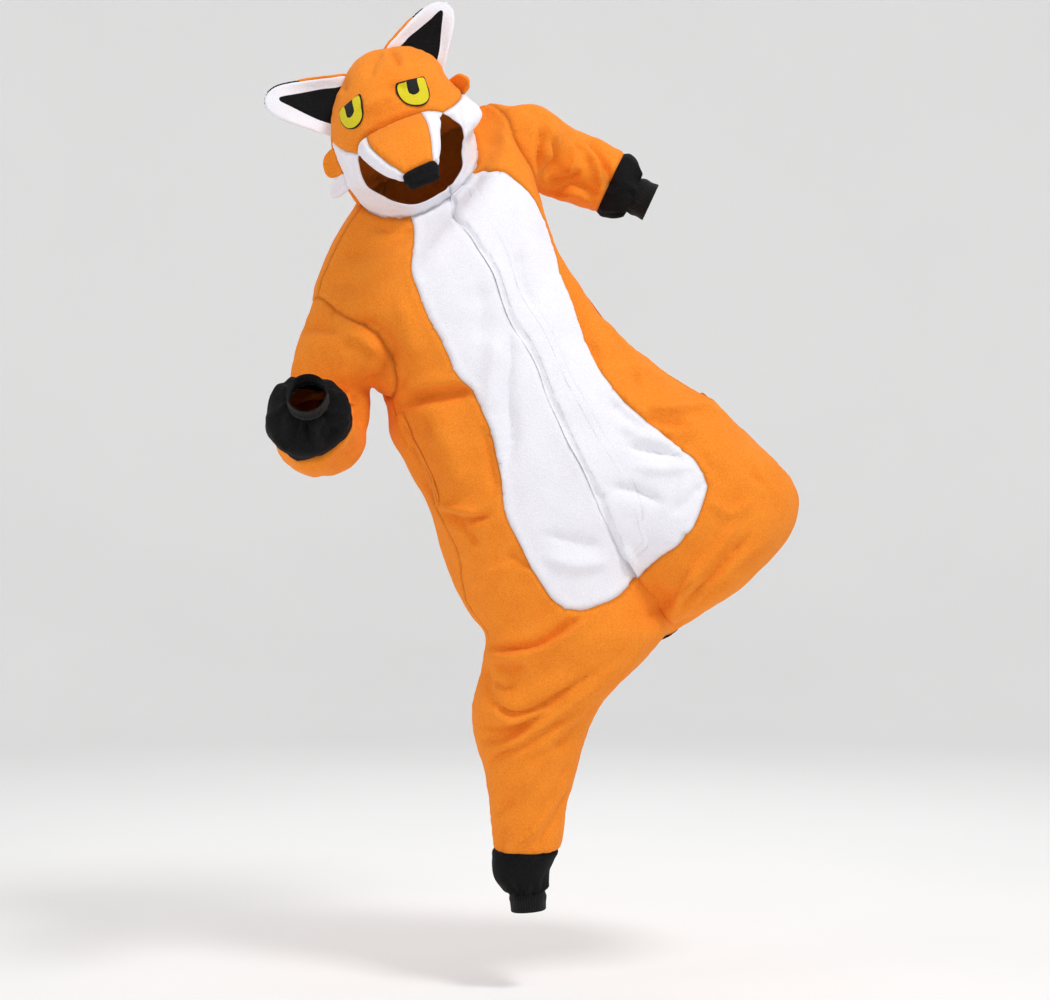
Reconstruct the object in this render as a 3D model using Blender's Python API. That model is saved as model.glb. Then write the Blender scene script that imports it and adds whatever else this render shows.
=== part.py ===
"""Fox onesie in its worn form: one fleece wall cut into the pieces that are sewn together.

Metres, +Z up, the wearer's front towards -Y.  "Right" and "left" are the wearer's own.
The body is two half tubes, right and left, that run from the neck down one leg each.
Both sleeves are tubes from an armhole, and the hood is a tube from the neck with a dome.
Every tube is drawn through a short table of rings, and the pieces are cut out of it.
"""
import math

import bpy
import bmesh
import numpy as np
from mathutils import Vector
from mathutils.geometry import delaunay_2d_cdt

# ---------------------------------------------------------------- driving sizes
WALL = 0.0025           # fleece
RIB_WALL = 0.0022       # knitted cuffs
TRIM_WALL = 0.0015      # flat pieces that lie on a panel
STITCH_WALL = 0.0009    # embroidered eyes
SEAM_GAP = 0.0003
STEP = 0.033            # side of a triangle on the body
HOOD_STEP = 0.022
NECK_HOLD = np.array((-0.200, 0.010, 1.495))    # where the neck holds it, above the floor
RING_POWER = 0.90       # exponent of a ring: 1 is an ellipse, less is squarer
BACK_DIP = 0.35         # a ring's back rises this share of what its front dips

# ---------------------------------------------------------------- rings
# A ring has its right and left side points, how far it reaches to the front and back,
# the dip of its front below level (degrees) and the turn of the centre front (degrees).
# Columns: right_x, right_y, right_z, left_x, left_y, left_z, front, back, dip, turn.
TORSO_RINGS = (
    (-0.293, -0.010, 1.419, -0.114, 0.030, 1.571, 0.128, 0.100, 50, 0),    # 0 neck
    (-0.331, -0.030, 1.359, -0.094, 0.058, 1.600, 0.140, 0.115, 48, 0),    # 1 collar
    (-0.373, -0.040, 1.251, -0.066, 0.060, 1.614, 0.155, 0.130, 39, 1),    # 2 shoulder tips
    (-0.309, -0.040, 1.155, -0.022, 0.050, 1.541, 0.155, 0.140, 14, 5),    # 3 armholes
    (-0.248, -0.030, 1.073, 0.015, 0.040, 1.454, 0.155, 0.140, 12, 8),     # 4 underarms
    (-0.242, -0.020, 1.007, 0.056, 0.030, 1.344, 0.155, 0.140, 11, 12),    # 5 chest
    (-0.217, -0.010, 0.959, 0.090, 0.020, 1.289, 0.155, 0.140, 11, 15),    # 6 ribs
    (-0.171, 0.000, 0.873, 0.144, 0.010, 1.212, 0.155, 0.140, 11, 12),     # 7 waist
    (-0.148, 0.000, 0.792, 0.223, 0.000, 1.143, 0.158, 0.145, 10, 8),      # 8 belly
    (-0.122, 0.000, 0.711, 0.342, 0.000, 1.062, 0.160, 0.150, 8, 2),       # 9 hips
    (-0.103, 0.000, 0.657, 0.358, 0.000, 1.049, 0.160, 0.150, 6, 0),       # 10 rise
    (-0.085, 0.000, 0.625, 0.369, 0.000, 1.042, 0.150, 0.150, 4, 0),       # 11 above the crotch
)
# How far each torso ring has already parted into a leg, from the neck down.
PARTING = (0, 0, 0, 0, 0, 0, 0, 0, 0, 0.05, 0.34, 0.76)

# A leg ring has the side points at its side seam and at its inseam, and its depths.
# Columns: side_x, side_y, side_z, inseam_x, inseam_y, inseam_z, front, back.
RIGHT_LEG_RINGS = (
    (-0.074, 0.000, 0.607, 0.266, 0.000, 0.666, 0.130, 0.130),     # 12 crotch
    (-0.083, 0.000, 0.567, 0.209, 0.000, 0.599, 0.122, 0.125),     # 13 thigh
    (-0.095, 0.000, 0.517, 0.142, 0.000, 0.531, 0.100, 0.105),     # 14 knee
    (-0.090, 0.005, 0.462, 0.110, 0.005, 0.471, 0.090, 0.092),     # 15 calf
    (-0.076, 0.010, 0.411, 0.096, 0.010, 0.415, 0.082, 0.085),     # 16 shin
    (-0.063, 0.015, 0.340, 0.078, 0.015, 0.346, 0.073, 0.075),     # 17 low shin
    (-0.058, 0.020, 0.262, 0.061, 0.020, 0.262, 0.064, 0.064),     # 18 black seam
    (-0.058, 0.020, 0.218, 0.045, 0.020, 0.222, 0.058, 0.058),     # 19 black end
    (-0.045, 0.020, 0.189, 0.040, 0.020, 0.193, 0.045, 0.045),     # 20 gathers
    (-0.029, 0.020, 0.180, 0.038, 0.020, 0.184, 0.034, 0.034),     # 21 cuff seam
    (-0.025, 0.020, 0.148, 0.038, 0.020, 0.153, 0.033, 0.033),     # 22 cuff end
)
LEFT_LEG_RINGS = (
    (0.378, 0.000, 1.031, 0.266, 0.000, 0.666, 0.150, 0.140),      # 12 crotch
    (0.436, -0.030, 0.970, 0.296, 0.020, 0.692, 0.118, 0.108),     # 13 thigh
    (0.470, 0.010, 0.912, 0.318, 0.030, 0.756, 0.066, 0.078),      # 14 knee
    (0.430, 0.096, 0.884, 0.318, 0.060, 0.782, 0.048, 0.060),      # 15 under the knee
    (0.399, 0.173, 0.832, 0.291, 0.127, 0.738, 0.075, 0.075),      # 16 shin
    (0.349, 0.238, 0.786, 0.241, 0.192, 0.694, 0.075, 0.075),      # 17 low shin
    (0.299, 0.271, 0.742, 0.201, 0.229, 0.658, 0.068, 0.068),      # 18 black seam
    (0.264, 0.290, 0.713, 0.180, 0.254, 0.641, 0.058, 0.058),      # 19 black end
    (0.237, 0.295, 0.689, 0.177, 0.269, 0.637, 0.042, 0.042),      # 20 gathers
    (0.219, 0.304, 0.671, 0.170, 0.283, 0.629, 0.034, 0.034),      # 21 cuff seam
    (0.193, 0.324, 0.646, 0.147, 0.304, 0.606, 0.032, 0.032),      # 22 cuff end
)
HOOD_RINGS = (
    TORSO_RINGS[0],
    (-0.308, -0.034, 1.434, -0.106, 0.007, 1.585, 0.132, 0.112, 27, 5),   # 1 jaw
    (-0.322, -0.052, 1.456, -0.080, -0.032, 1.590, 0.126, 0.124, 22, 5),   # 2 mouth
    (-0.338, -0.070, 1.500, -0.094, -0.060, 1.598, 0.125, 0.135, 18, 4),   # 3 cheek
    (-0.343, -0.080, 1.555, -0.134, -0.080, 1.631, 0.120, 0.135, 14, 2),   # 4 temple
    (-0.330, -0.080, 1.612, -0.161, -0.080, 1.672, 0.100, 0.115, 12, 0),   # 5 ears
    (-0.309, -0.080, 1.654, -0.203, -0.080, 1.691, 0.065, 0.075, 12, 0),   # 6 upper
    (-0.288, -0.080, 1.675, -0.256, -0.080, 1.688, 0.020, 0.022, 12, 0),   # 7 crown
)
CROWN = (-0.274, -0.080, 1.685)
DOME_ROW = 4.2          # the dome starts here and the hood's tube ends

LEG_FRONT = np.array((0.45, -0.85, -0.25))      # every leg ring's front looks this way

# ---------------------------------------------------------------- seams on the body
CROTCH_ROW, BLACK_ROW, CUFF_ROW, END_ROW = 12.0, 18.0, 21.0, 22.0
# Columns: row, reach.
SIDE_SEAM = (           # reach: share of the half round from the centre front
    (0.0, 0.500), (4.1, 0.500), (4.7, 0.462), (6.9, 0.455), (8.0, 0.410), (9.0, 0.440),
    (10.8, 0.446), (12.4, 0.500), (22.0, 0.500))
# Columns: reach, row.
BELLY_EDGE = {
    "right": (
        (0.215, 0.00), (0.160, 1.10), (0.128, 2.00), (0.165, 3.00), (0.195, 3.75), (0.184, 4.60),
        (0.167, 5.60), (0.168, 6.40), (0.180, 7.35), (0.190, 7.95), (0.181, 8.60), (0.182, 9.20),
        (0.200, 9.82), (0.200, 10.24), (0.165, 10.40), (0.112, 10.40), (0.000, 10.30)),
    "left": (
        (0.150, 0.00), (0.125, 1.40), (0.140, 2.50), (0.200, 3.30), (0.285, 4.20), (0.300, 4.80),
        (0.240, 5.40), (0.205, 6.30), (0.172, 7.15), (0.164, 7.80), (0.183, 8.37), (0.197, 8.67),
        (0.236, 9.45), (0.281, 10.36), (0.301, 11.10), (0.304, 11.47), (0.297, 11.74), (0.281, 11.89),
        (0.256, 11.87), (0.236, 11.73), (0.194, 11.24), (0.150, 10.82), (0.104, 10.51),
        (0.045, 10.34), (0.000, 10.30)),
}
PLACKET_REACH = 0.062
PLACKET_END = 9.95
POCKET_TOP, POCKET_END = 4.6, 6.9
POCKET_WIDTH = 0.040    # share of the half round
ARMHOLE = dict(row=3.0, half_rows=1.04, half_reach=0.155, points=20)


def columns(table):
    return np.array(table, dtype=float)


def through(rows, at):
    """Smooth curve through every column of the rows, at fractional row numbers."""
    at = np.clip(np.atleast_1d(np.asarray(at, float)), 0, len(rows) - 1)
    flat = rows.reshape(len(rows), -1)
    gap = np.linalg.norm(np.diff(flat, axis=0), axis=1)[:, None] + 1e-9
    rate = np.diff(flat, axis=0) / gap
    inner = (rate[:-1] * gap[1:] + rate[1:] * gap[:-1]) / (gap[:-1] + gap[1:])
    slope = np.vstack((rate[:1], inner, rate[-1:]))
    low = np.minimum(at.astype(int), len(rows) - 2)
    part = (at - low)[:, None]
    start, step = flat[low], flat[low + 1] - flat[low]
    leave, arrive = slope[low] * gap[low], slope[low + 1] * gap[low]
    found = start + part * (leave + part * ((3 * step - 2 * leave - arrive)
                                            + part * (leave + arrive - 2 * step)))
    return found.reshape((len(at),) + rows.shape[1:])


def unit(vectors):
    return vectors / np.maximum(np.linalg.norm(vectors, axis=-1, keepdims=True), 1e-12)


def ring_frames(table):
    """Centre, side, front and back vectors and turn of each body or hood ring, in one row."""
    rows = columns(table)
    right, left = rows[:, 0:3], rows[:, 3:6]
    front, back, dip, turn = rows[:, 6], rows[:, 7], np.radians(rows[:, 8]), np.radians(rows[:, 9])
    side = (left - right) / 2
    down = unit(np.cross((0, 1, 0), side))
    ahead = unit(np.cross(down, side))
    ahead *= np.where(ahead[:, 1] > 0, -1, 1)[:, None]
    toward = ahead * np.cos(dip)[:, None] + down * np.sin(dip)[:, None]
    dip = dip * BACK_DIP
    away = ahead * np.cos(dip)[:, None] + down * np.sin(dip)[:, None]
    return np.hstack(((left + right) / 2, side, toward * front[:, None],
                      -away * back[:, None], turn[:, None]))


def leg_frames(table):
    """The same for a leg: side points to the side seam, the front follows the tube."""
    rows = columns(table)
    seam, inseam = rows[:, 0:3], rows[:, 3:6]
    centre = (seam + inseam) / 2
    side = (seam - inseam) / 2
    along = np.gradient(centre, axis=0)
    facing = unit(np.cross(along, side))
    facing *= np.sign(facing @ LEG_FRONT)[:, None]
    return np.hstack((centre, side, facing * rows[:, 6:7], -facing * rows[:, 7:8],
                      np.zeros((len(rows), 1))))


def round_point(frame, angle):
    """Point of a ring at an angle from its front; +90 degrees is along its side vector."""
    across, ahead = np.sin(angle), np.cos(angle)
    wide = np.sign(across) * np.abs(across) ** RING_POWER
    deep = np.sign(ahead) * np.abs(ahead) ** RING_POWER
    reach = np.where((ahead > 0)[:, None], frame[:, 6:9], frame[:, 9:12])
    return frame[:, 0:3] + frame[:, 3:6] * wide[:, None] + reach * np.abs(deep)[:, None]


TORSO = ring_frames(TORSO_RINGS)
HOOD = ring_frames(HOOD_RINGS)
LEGS = {"right": leg_frames(RIGHT_LEG_RINGS), "left": leg_frames(LEFT_LEG_RINGS)}
PARTED = columns(PARTING + (1,))[:, None]
OUTWARD = {"right": -1, "left": 1}


def body_place(side):
    """Surface of one half of the body: reach 0 is the centre front, 1 the centre back."""
    def place(reach, row):
        reach, row = np.broadcast_arrays(np.atleast_1d(reach), np.atleast_1d(row))
        torso = through(TORSO, row)
        parted = np.clip(through(PARTED, row), 0, 1)
        on_torso = round_point(torso, torso[:, 12] + OUTWARD[side] * math.pi * reach)
        turn = 2 * math.pi * reach - math.pi / 2
        on_leg = round_point(through(LEGS[side], row - CROTCH_ROW), turn)
        # above the crotch the leg runs straight on, but both legs keep the crotch itself
        first = np.zeros(len(row))
        crotch = round_point(through(LEGS[side], first), turn)
        run = round_point(through(LEGS[side], first + 1), turn) - crotch
        ahead = np.minimum(row - CROTCH_ROW, 0) * np.sin(math.pi * reach) ** 2
        on_leg = on_leg + run * ahead[:, None]
        return on_torso * (1 - parted) + on_leg * parted
    return place


def hood_place(reach, row):
    """Surface of the hood: reach 0 is the centre front, -1 and 1 the centre back."""
    reach, row = np.broadcast_arrays(np.atleast_1d(reach), np.atleast_1d(row))
    last = len(HOOD) - 1
    ring = through(HOOD, row)
    point = round_point(ring, ring[:, 12] + math.pi * reach)
    closing = np.clip(row - last, 0, 1)[:, None]
    return point * (1 - closing) + np.array(CROWN) * closing


# ---------------------------------------------------------------- cutting a tube
def lengths(points):
    """Distance along a line of points from its first one."""
    return np.concatenate(((0.0,), np.cumsum(np.linalg.norm(np.diff(points, axis=0), axis=1))))


def spaced(place, stops, step):
    """Flat points along straight runs between the stops, evenly spaced on the surface."""
    stops = columns(stops)
    found = [stops[:1]]
    for start, end in zip(stops[:-1], stops[1:]):
        part = np.linspace(0, 1, 33)[:, None]
        run = start * (1 - part) + end * part
        far = lengths(place(run[:, 0], run[:, 1]))
        wanted = np.linspace(0, far[-1], max(1, round(far[-1] / step)) + 1)[1:]
        found.append(np.column_stack([np.interp(wanted, far, run[:, k]) for k in (0, 1)]))
    return np.vstack(found)


def smooth_line(place, stops, step):
    """Flat points along a smooth curve through the stops, evenly spaced on the surface."""
    stops = columns(stops)
    run = through(stops, np.linspace(0, len(stops) - 1, 16 * (len(stops) - 1) + 1))
    far = lengths(place(run[:, 0], run[:, 1]))
    wanted = np.linspace(0, far[-1], max(2, round(far[-1] / step)) + 1)
    return np.column_stack([np.interp(wanted, far, run[:, k]) for k in (0, 1)])


def inside(outline, points):
    """Which flat points lie inside a closed outline."""
    found = np.zeros(len(points), bool)
    for (ax, ay), (bx, by) in zip(outline, np.roll(outline, -1, axis=0)):
        crosses = (ay > points[:, 1]) != (by > points[:, 1])
        rise = np.where(crosses, by - ay, 1.0)
        found ^= crosses & (points[:, 0] < (bx - ax) * (points[:, 1] - ay) / rise + ax)
    return found


def flat_chart(place, reaches, rows, level_row, evened=None, polar=False):
    """Function that lays a tube flat with about its true lengths both ways.

    Above the level row every ring gets that row's length.  Between the two evened rows the
    rings are brought level again, for a tube with a bend.
    """
    reach_list = np.linspace(reaches[0], reaches[1], 41)
    row_list = np.linspace(rows[0], rows[1], int(12 * (rows[1] - rows[0])) + 1)
    grid = np.array([place(reach_list, row) for row in row_list])
    around = np.linalg.norm(np.diff(grid, axis=1), axis=2).sum(axis=1)
    down = np.array([lengths(grid[:, k]) for k in range(len(reach_list))]).T
    level = np.array([np.interp(level_row, row_list, down[:, k]) for k in range(len(reach_list))])
    down -= level
    around = np.where(row_list < level_row, np.interp(level_row, row_list, around), around)
    if evened:
        mean = down.mean(axis=1, keepdims=True)
        at_bend = np.interp(evened[0], row_list, np.arange(len(row_list))).astype(int)
        shift = (down[at_bend] - mean[at_bend]) * np.interp(row_list, evened, (1, 0))[:, None]
        down = np.where(row_list[:, None] > evened[0], mean + shift, down)

    def flat(points):
        column = np.clip((points[:, 0] - reaches[0]) / (reaches[1] - reaches[0]), 0, 1) * 40
        line = np.interp(points[:, 1], row_list, np.arange(len(row_list)))
        left, top = np.minimum(column.astype(int), 39), np.minimum(line.astype(int), len(row_list) - 2)
        a, b = column - left, line - top
        tall = ((down[top, left] * (1 - a) + down[top, left + 1] * a) * (1 - b)
                + (down[top + 1, left] * (1 - a) + down[top + 1, left + 1] * a) * b)
        if polar:
            return np.column_stack((-tall * np.sin(math.pi * points[:, 0]),
                                    -tall * np.cos(math.pi * points[:, 0])))
        middle = (reaches[0] + reaches[1]) / 2
        wide = (points[:, 0] - middle) / (reaches[1] - reaches[0]) * np.interp(points[:, 1], row_list, around)
        return np.column_stack((wide, tall))
    return flat


class Cloth:
    """All the outer surface in triangles, each one marked with the piece it belongs to."""

    def __init__(self):
        self.points, self.faces, self.piece, self.laid = [], [], [], []
        self.count = 0

    def add(self, points, faces, piece, laid, outward_from):
        """Take a sheet in; its faces are turned to look away from the line of centres."""
        faces = np.asarray(faces)
        corners = points[faces]
        normal = np.cross(corners[:, 1] - corners[:, 0], corners[:, 2] - corners[:, 0])
        if np.sum(normal * (corners.mean(axis=1) - outward_from)) < 0:
            faces = faces[:, ::-1]
        self.points.append(points)
        self.faces.append(faces + self.count)
        self.piece += list(piece)
        self.laid += list(laid)
        self.count += len(points)

    def weld(self):
        """Join the sheets where they meet."""
        points, faces = np.vstack(self.points), np.vstack(self.faces)
        mesh = bmesh.new()
        for point in points:
            mesh.verts.new(point)
        mesh.verts.ensure_lookup_table()
        kind = mesh.faces.layers.int.new("kind")
        for number, face in enumerate(faces):
            made = mesh.faces.new([mesh.verts[k] for k in face])
            made[kind] = number
        bmesh.ops.remove_doubles(mesh, verts=mesh.verts, dist=2e-5)
        mesh.verts.index_update()
        # turn long diagonals, but never one that is a seam
        inner = [edge for edge in mesh.edges if len(edge.link_faces) == 2
                 and len({(self.piece[face[kind]], self.laid[face[kind]]) for face in edge.link_faces}) == 1]
        bmesh.ops.beautify_fill(mesh, faces=mesh.faces[:], edges=inner, method="ANGLE")
        mesh.faces.ensure_lookup_table()
        order = [face[kind] for face in mesh.faces]
        self.points = np.array([vert.co[:] for vert in mesh.verts])
        self.faces = np.array([[vert.index for vert in face.verts] for face in mesh.faces])
        self.piece = [self.piece[k] for k in order]
        self.laid = [self.laid[k] for k in order]
        mesh.free()
        self.normals = self.vertex_normals()

    def vertex_normals(self):
        corners = self.points[self.faces]
        normals = np.zeros_like(self.points)
        for turn in range(3):
            one, two, three = (corners[:, (turn + k) % 3] for k in range(3))
            face = unit(np.cross(two - one, three - one))
            angle = np.arccos(np.clip(np.sum(unit(two - one) * unit(three - one), axis=1), -1, 1))
            np.add.at(normals, self.faces[:, turn], face * angle[:, None])
        return unit(normals)


def fill_sheet(place, flat, outline, seams, reaches, rows, step):
    """Points and triangles inside an outline; every seam's points become corners."""
    known, points, edges = {}, [], []
    for line in [outline] + seams:
        numbers = []
        for reach, row in line:
            key = (round(reach, 6), round(row, 6))
            if key not in known:
                known[key] = len(points)
                points.append((reach, row))
            numbers.append(known[key])
        edges += [pair for pair in zip(numbers[:-1], numbers[1:]) if pair[0] != pair[1]]
    fixed = columns(points)
    border = flat(columns(outline))
    kept = place(fixed[:, 0], fixed[:, 1])
    middle = (reaches[0] + reaches[1]) / 2
    spine = place(np.full(200, middle), np.linspace(rows[0], rows[1], 200))
    far = lengths(spine)
    row_list = np.interp(np.arange(step / 2, far[-1], step * 0.87), far, np.linspace(rows[0], rows[1], 200))
    for number, row in enumerate(row_list):
        around = lengths(place(np.linspace(reaches[0], reaches[1], 49), row))[-1]
        count = max(3, round(around / step))
        reach = reaches[0] + (reaches[1] - reaches[0]) * (np.arange(count) + 0.25 + number % 2 / 2) / count
        spots = np.column_stack((reach, np.full(count, row)))
        spots = spots[inside(border, flat(spots))]
        for spot, solid in zip(spots, place(spots[:, 0], spots[:, 1])):
            if np.min(np.linalg.norm(kept - solid, axis=1)) > 0.62 * step:
                points.append(tuple(spot))
                kept = np.vstack((kept, solid))
    points = columns(points)
    laid_flat = [Vector(spot) for spot in flat(points)]
    found = delaunay_2d_cdt(laid_flat, edges, [], 0, 1e-7, True)
    source = [owners[0] for owners in found[3]]
    faces = np.array([[source[corner] for corner in face] for face in found[2]])
    centres = flat(points)[faces].mean(axis=1)
    faces = faces[inside(border, centres)]
    return points, faces


# ---------------------------------------------------------------- body, right and left half
def armhole_line():
    turn = np.linspace(0, 2 * math.pi, ARMHOLE["points"] + 1)
    return np.column_stack((0.5 + ARMHOLE["half_reach"] * np.sin(turn),
                            ARMHOLE["row"] + ARMHOLE["half_rows"] * np.cos(turn)))


def side_reach(row):
    rows, reaches = columns(SIDE_SEAM).T
    return np.interp(row, rows, reaches)


def body_labels(side, centres, belly):
    """The piece that each triangle belongs to, and the piece that lies on it, if any."""
    reach, row = centres.T
    front = reach < side_reach(row)
    piece = np.where(front, "front_" + side, "back_" + side).astype(object)
    whole = np.vstack(((-0.1, -0.1), (belly[0, 0], -0.1), belly, (-0.1, belly[-1, 1])))
    piece[inside(whole, centres)] = "belly_" + side
    piece[row > BLACK_ROW] = "leg_end_" + side
    piece[row > CUFF_ROW] = "ankle_cuff_" + side
    laid = np.full(len(centres), "", dtype=object)
    laid[front & (reach > side_reach(row) - POCKET_WIDTH)
         & (row > POCKET_TOP) & (row < POCKET_END)] = "pocket_hem_" + side
    if side == "left":
        laid[(reach < PLACKET_REACH) & (row < PLACKET_END)] = "placket"
    return piece, laid


def neck_line(side):
    """The neck seam of one half, shared by the body and the hood."""
    stops = [0.0, SIDE_SEAM[0][1], 1.0, BELLY_EDGE[side][0][0]]
    if side == "left":
        stops.append(PLACKET_REACH)
    return spaced(body_place(side), [(reach, 0.0) for reach in sorted(stops)], HOOD_STEP * 1.15)


def body_sheet(cloth, side):
    place = body_place(side)
    armhole = armhole_line()
    armhole_top = ARMHOLE["row"] - ARMHOLE["half_rows"]
    armhole_low = ARMHOLE["row"] + ARMHOLE["half_rows"]
    front_stops = [0.0, 2.0, 3.0, BELLY_EDGE[side][-1][1], CROTCH_ROW, BLACK_ROW, CUFF_ROW, END_ROW,
                   PLACKET_END]
    front = spaced(place, [(0.0, row) for row in sorted(front_stops)], STEP)
    back = spaced(place, [(1.0, row) for row in (0.0, CROTCH_ROW, BLACK_ROW, CUFF_ROW, END_ROW)], STEP)
    hem = spaced(place, [(0.0, END_ROW), (1.0, END_ROW)], STEP * 0.7)
    outline = np.vstack((neck_line(side), back[1:], hem[::-1][1:], front[::-1][1:]))
    belly = smooth_line(place, BELLY_EDGE[side], STEP * 0.8)
    seam_rows = [row for row, reach in SIDE_SEAM if armhole_low < row < BLACK_ROW]
    seam_rows = sorted(seam_rows + [armhole_low, POCKET_TOP, POCKET_END, BLACK_ROW])
    pocket_rows = [row for row in seam_rows if POCKET_TOP <= row <= POCKET_END]
    pocket = [(side_reach(row) - POCKET_WIDTH, row) for row in pocket_rows]
    seams = [
        belly,
        spaced(place, [(0.5, 0.0), (0.5, armhole_top)], STEP),
        armhole,
        spaced(place, [(side_reach(row), row) for row in seam_rows], STEP),
        spaced(place, [(side_reach(POCKET_TOP), POCKET_TOP), *pocket,
                       (side_reach(POCKET_END), POCKET_END)], STEP),
        spaced(place, [(0.0, BLACK_ROW), (side_reach(BLACK_ROW), BLACK_ROW), (1.0, BLACK_ROW)], STEP),
        spaced(place, [(0.0, CUFF_ROW), (1.0, CUFF_ROW)], STEP * 0.7),
    ]
    if side == "left":
        seams.append(spaced(place, [(PLACKET_REACH, 0.0), (PLACKET_REACH, PLACKET_END),
                                    (0.0, PLACKET_END)], STEP))
    flat = flat_chart(place, (0, 1), (0, END_ROW), 6, (CROTCH_ROW, CROTCH_ROW + 5))
    points, faces = fill_sheet(place, flat, outline, seams, (0, 1), (0, END_ROW), STEP)
    faces = faces[~inside(armhole, points[faces].mean(axis=1))]
    centres = points[faces].mean(axis=1)
    middle = np.array([body_middle(side, row) for row in centres[:, 1]])
    cloth.add(place(points[:, 0], points[:, 1]), faces, *body_labels(side, centres, belly), middle)


def body_middle(side, row):
    if row < CROTCH_ROW - 1:
        return through(TORSO, row)[0, 0:3]
    return through(LEGS[side], row - CROTCH_ROW)[0, 0:3]


# ---------------------------------------------------------------- sleeves
# Columns: x, y, z, across, deep.
SLEEVE_RINGS = {
    "right": (
        (-0.342, -0.036, 1.125, 0.070, 0.076),     # upper arm
        (-0.350, -0.036, 1.060, 0.066, 0.074),     # above the elbow
        (-0.356, -0.060, 1.008, 0.072, 0.076),     # elbow
        (-0.366, -0.120, 1.004, 0.070, 0.074),     # forearm
        (-0.372, -0.175, 1.026, 0.069, 0.071),     # black seam
        (-0.371, -0.225, 1.042, 0.068, 0.067),     # black end
        (-0.368, -0.252, 1.054, 0.051, 0.047),     # gathers
        (-0.367, -0.256, 1.057, 0.040, 0.037),     # cuff seam
        (-0.367, -0.282, 1.071, 0.038, 0.035),     # cuff end
    ),
    "left": (
        (-0.002, 0.055, 1.538, 0.074, 0.075),
        (0.040, 0.095, 1.524, 0.066, 0.070),
        (0.086, 0.120, 1.510, 0.064, 0.068),
        (0.128, 0.130, 1.492, 0.061, 0.064),
        (0.158, 0.130, 1.478, 0.058, 0.060),       # black seam
        (0.183, 0.130, 1.466, 0.056, 0.057),
        (0.200, 0.130, 1.458, 0.047, 0.047),
        (0.204, 0.130, 1.456, 0.037, 0.037),
        (0.232, 0.130, 1.443, 0.036, 0.036),
    ),
}
SLEEVE_BLACK, SLEEVE_CUFF = 5, 8                   # rows, counted from the armhole


def sleeve_rows(side):
    """Points of every ring, from the armhole's own points on."""
    armhole = armhole_line()[:-1]
    hole = body_place(side)(armhole[:, 0], armhole[:, 1])
    rows = columns(SLEEVE_RINGS[side])
    path = np.vstack((hole.mean(axis=0), rows[:, 0:3]))
    along = unit(np.gradient(path, axis=0))
    low = hole[0] - hole.mean(axis=0)
    quarter = hole[len(hole) // 4] - hole.mean(axis=0)
    turn = np.arange(len(hole)) / len(hole) * 2 * math.pi
    found = [hole]
    for row, facing in zip(rows, along[1:]):
        low = unit(low - facing * (low @ facing))
        beside = np.cross(facing, low)
        beside = beside * np.sign(beside @ quarter)
        quarter = beside
        found.append(row[0:3] + np.outer(np.cos(turn) * row[4], low)
                     + np.outer(np.sin(turn) * row[3], beside))
    return np.array(found)


def sleeve_sheet(cloth, side):
    rows = sleeve_rows(side)
    spine = lengths(rows.mean(axis=1))
    stops = []
    for first, last in ((0, SLEEVE_BLACK), (SLEEVE_BLACK, SLEEVE_CUFF), (SLEEVE_CUFF, len(rows) - 1)):
        count = max(2, round((spine[last] - spine[first]) / STEP))
        wanted = np.linspace(spine[first], spine[last], count + 1)
        stops += list(np.interp(wanted, spine, np.arange(len(rows))))[:-1]
    stops = np.array(stops + [len(rows) - 1.0])
    grid = through(rows, stops)
    around = grid.shape[1]
    faces, piece, middle = [], [], []
    for line in range(len(stops) - 1):
        name = "sleeve_"
        if stops[line] >= SLEEVE_BLACK - 0.01:
            name = "sleeve_end_"
        if stops[line] >= SLEEVE_CUFF - 0.01:
            name = "wrist_cuff_"
        for spot in range(around):
            a, b = line * around + spot, line * around + (spot + 1) % around
            c, d = b + around, a + around
            faces += [(a, b, c), (a, c, d)] if (line + spot) % 2 else [(a, b, d), (b, c, d)]
            piece += [name + side] * 2
            middle += [grid[line:line + 2].mean(axis=(0, 1))] * 2
    cloth.add(grid.reshape(-1, 3), faces, piece, [""] * len(faces), np.array(middle))


# ---------------------------------------------------------------- hood
FACE_EDGE = (           # reach, row: the face opening, from the chin up the right side
    (0.000, 0.26), (-0.130, 0.30), (-0.250, 0.62), (-0.312, 1.20), (-0.322, 1.90),
    (-0.298, 2.55), (-0.262, 3.02))
BROW_EDGE = ((-0.262, 3.02), (-0.175, 3.46), (-0.050, 3.58), (0.065, 3.60), (0.165, 3.30))
FACE_EDGE_LEFT = (
    (0.165, 3.30), (0.165, 2.60), (0.148, 1.90), (0.130, 1.30), (0.110, 0.75),
    (0.070, 0.36), (0.000, 0.26))
CHEEK_TOP = 3.50
EAR_SEAM = 0.5


def face_outline():
    return np.vstack([smooth_line(hood_place, edge, HOOD_STEP)[:-1]
                      for edge in (FACE_EDGE, BROW_EDGE, FACE_EDGE_LEFT)])


def hood_piece(reach, row):
    side = "right" if reach < 0 else "left"
    if abs(reach) > EAR_SEAM:
        return "hood_back_" + side
    corner = abs(BROW_EDGE[0 if reach < 0 else -1][0])
    start = BROW_EDGE[0 if reach < 0 else -1][1]
    top = np.interp(abs(reach), (corner, EAR_SEAM), (start, CHEEK_TOP))
    return "hood_front" if row > top else "cheek_" + side


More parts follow.
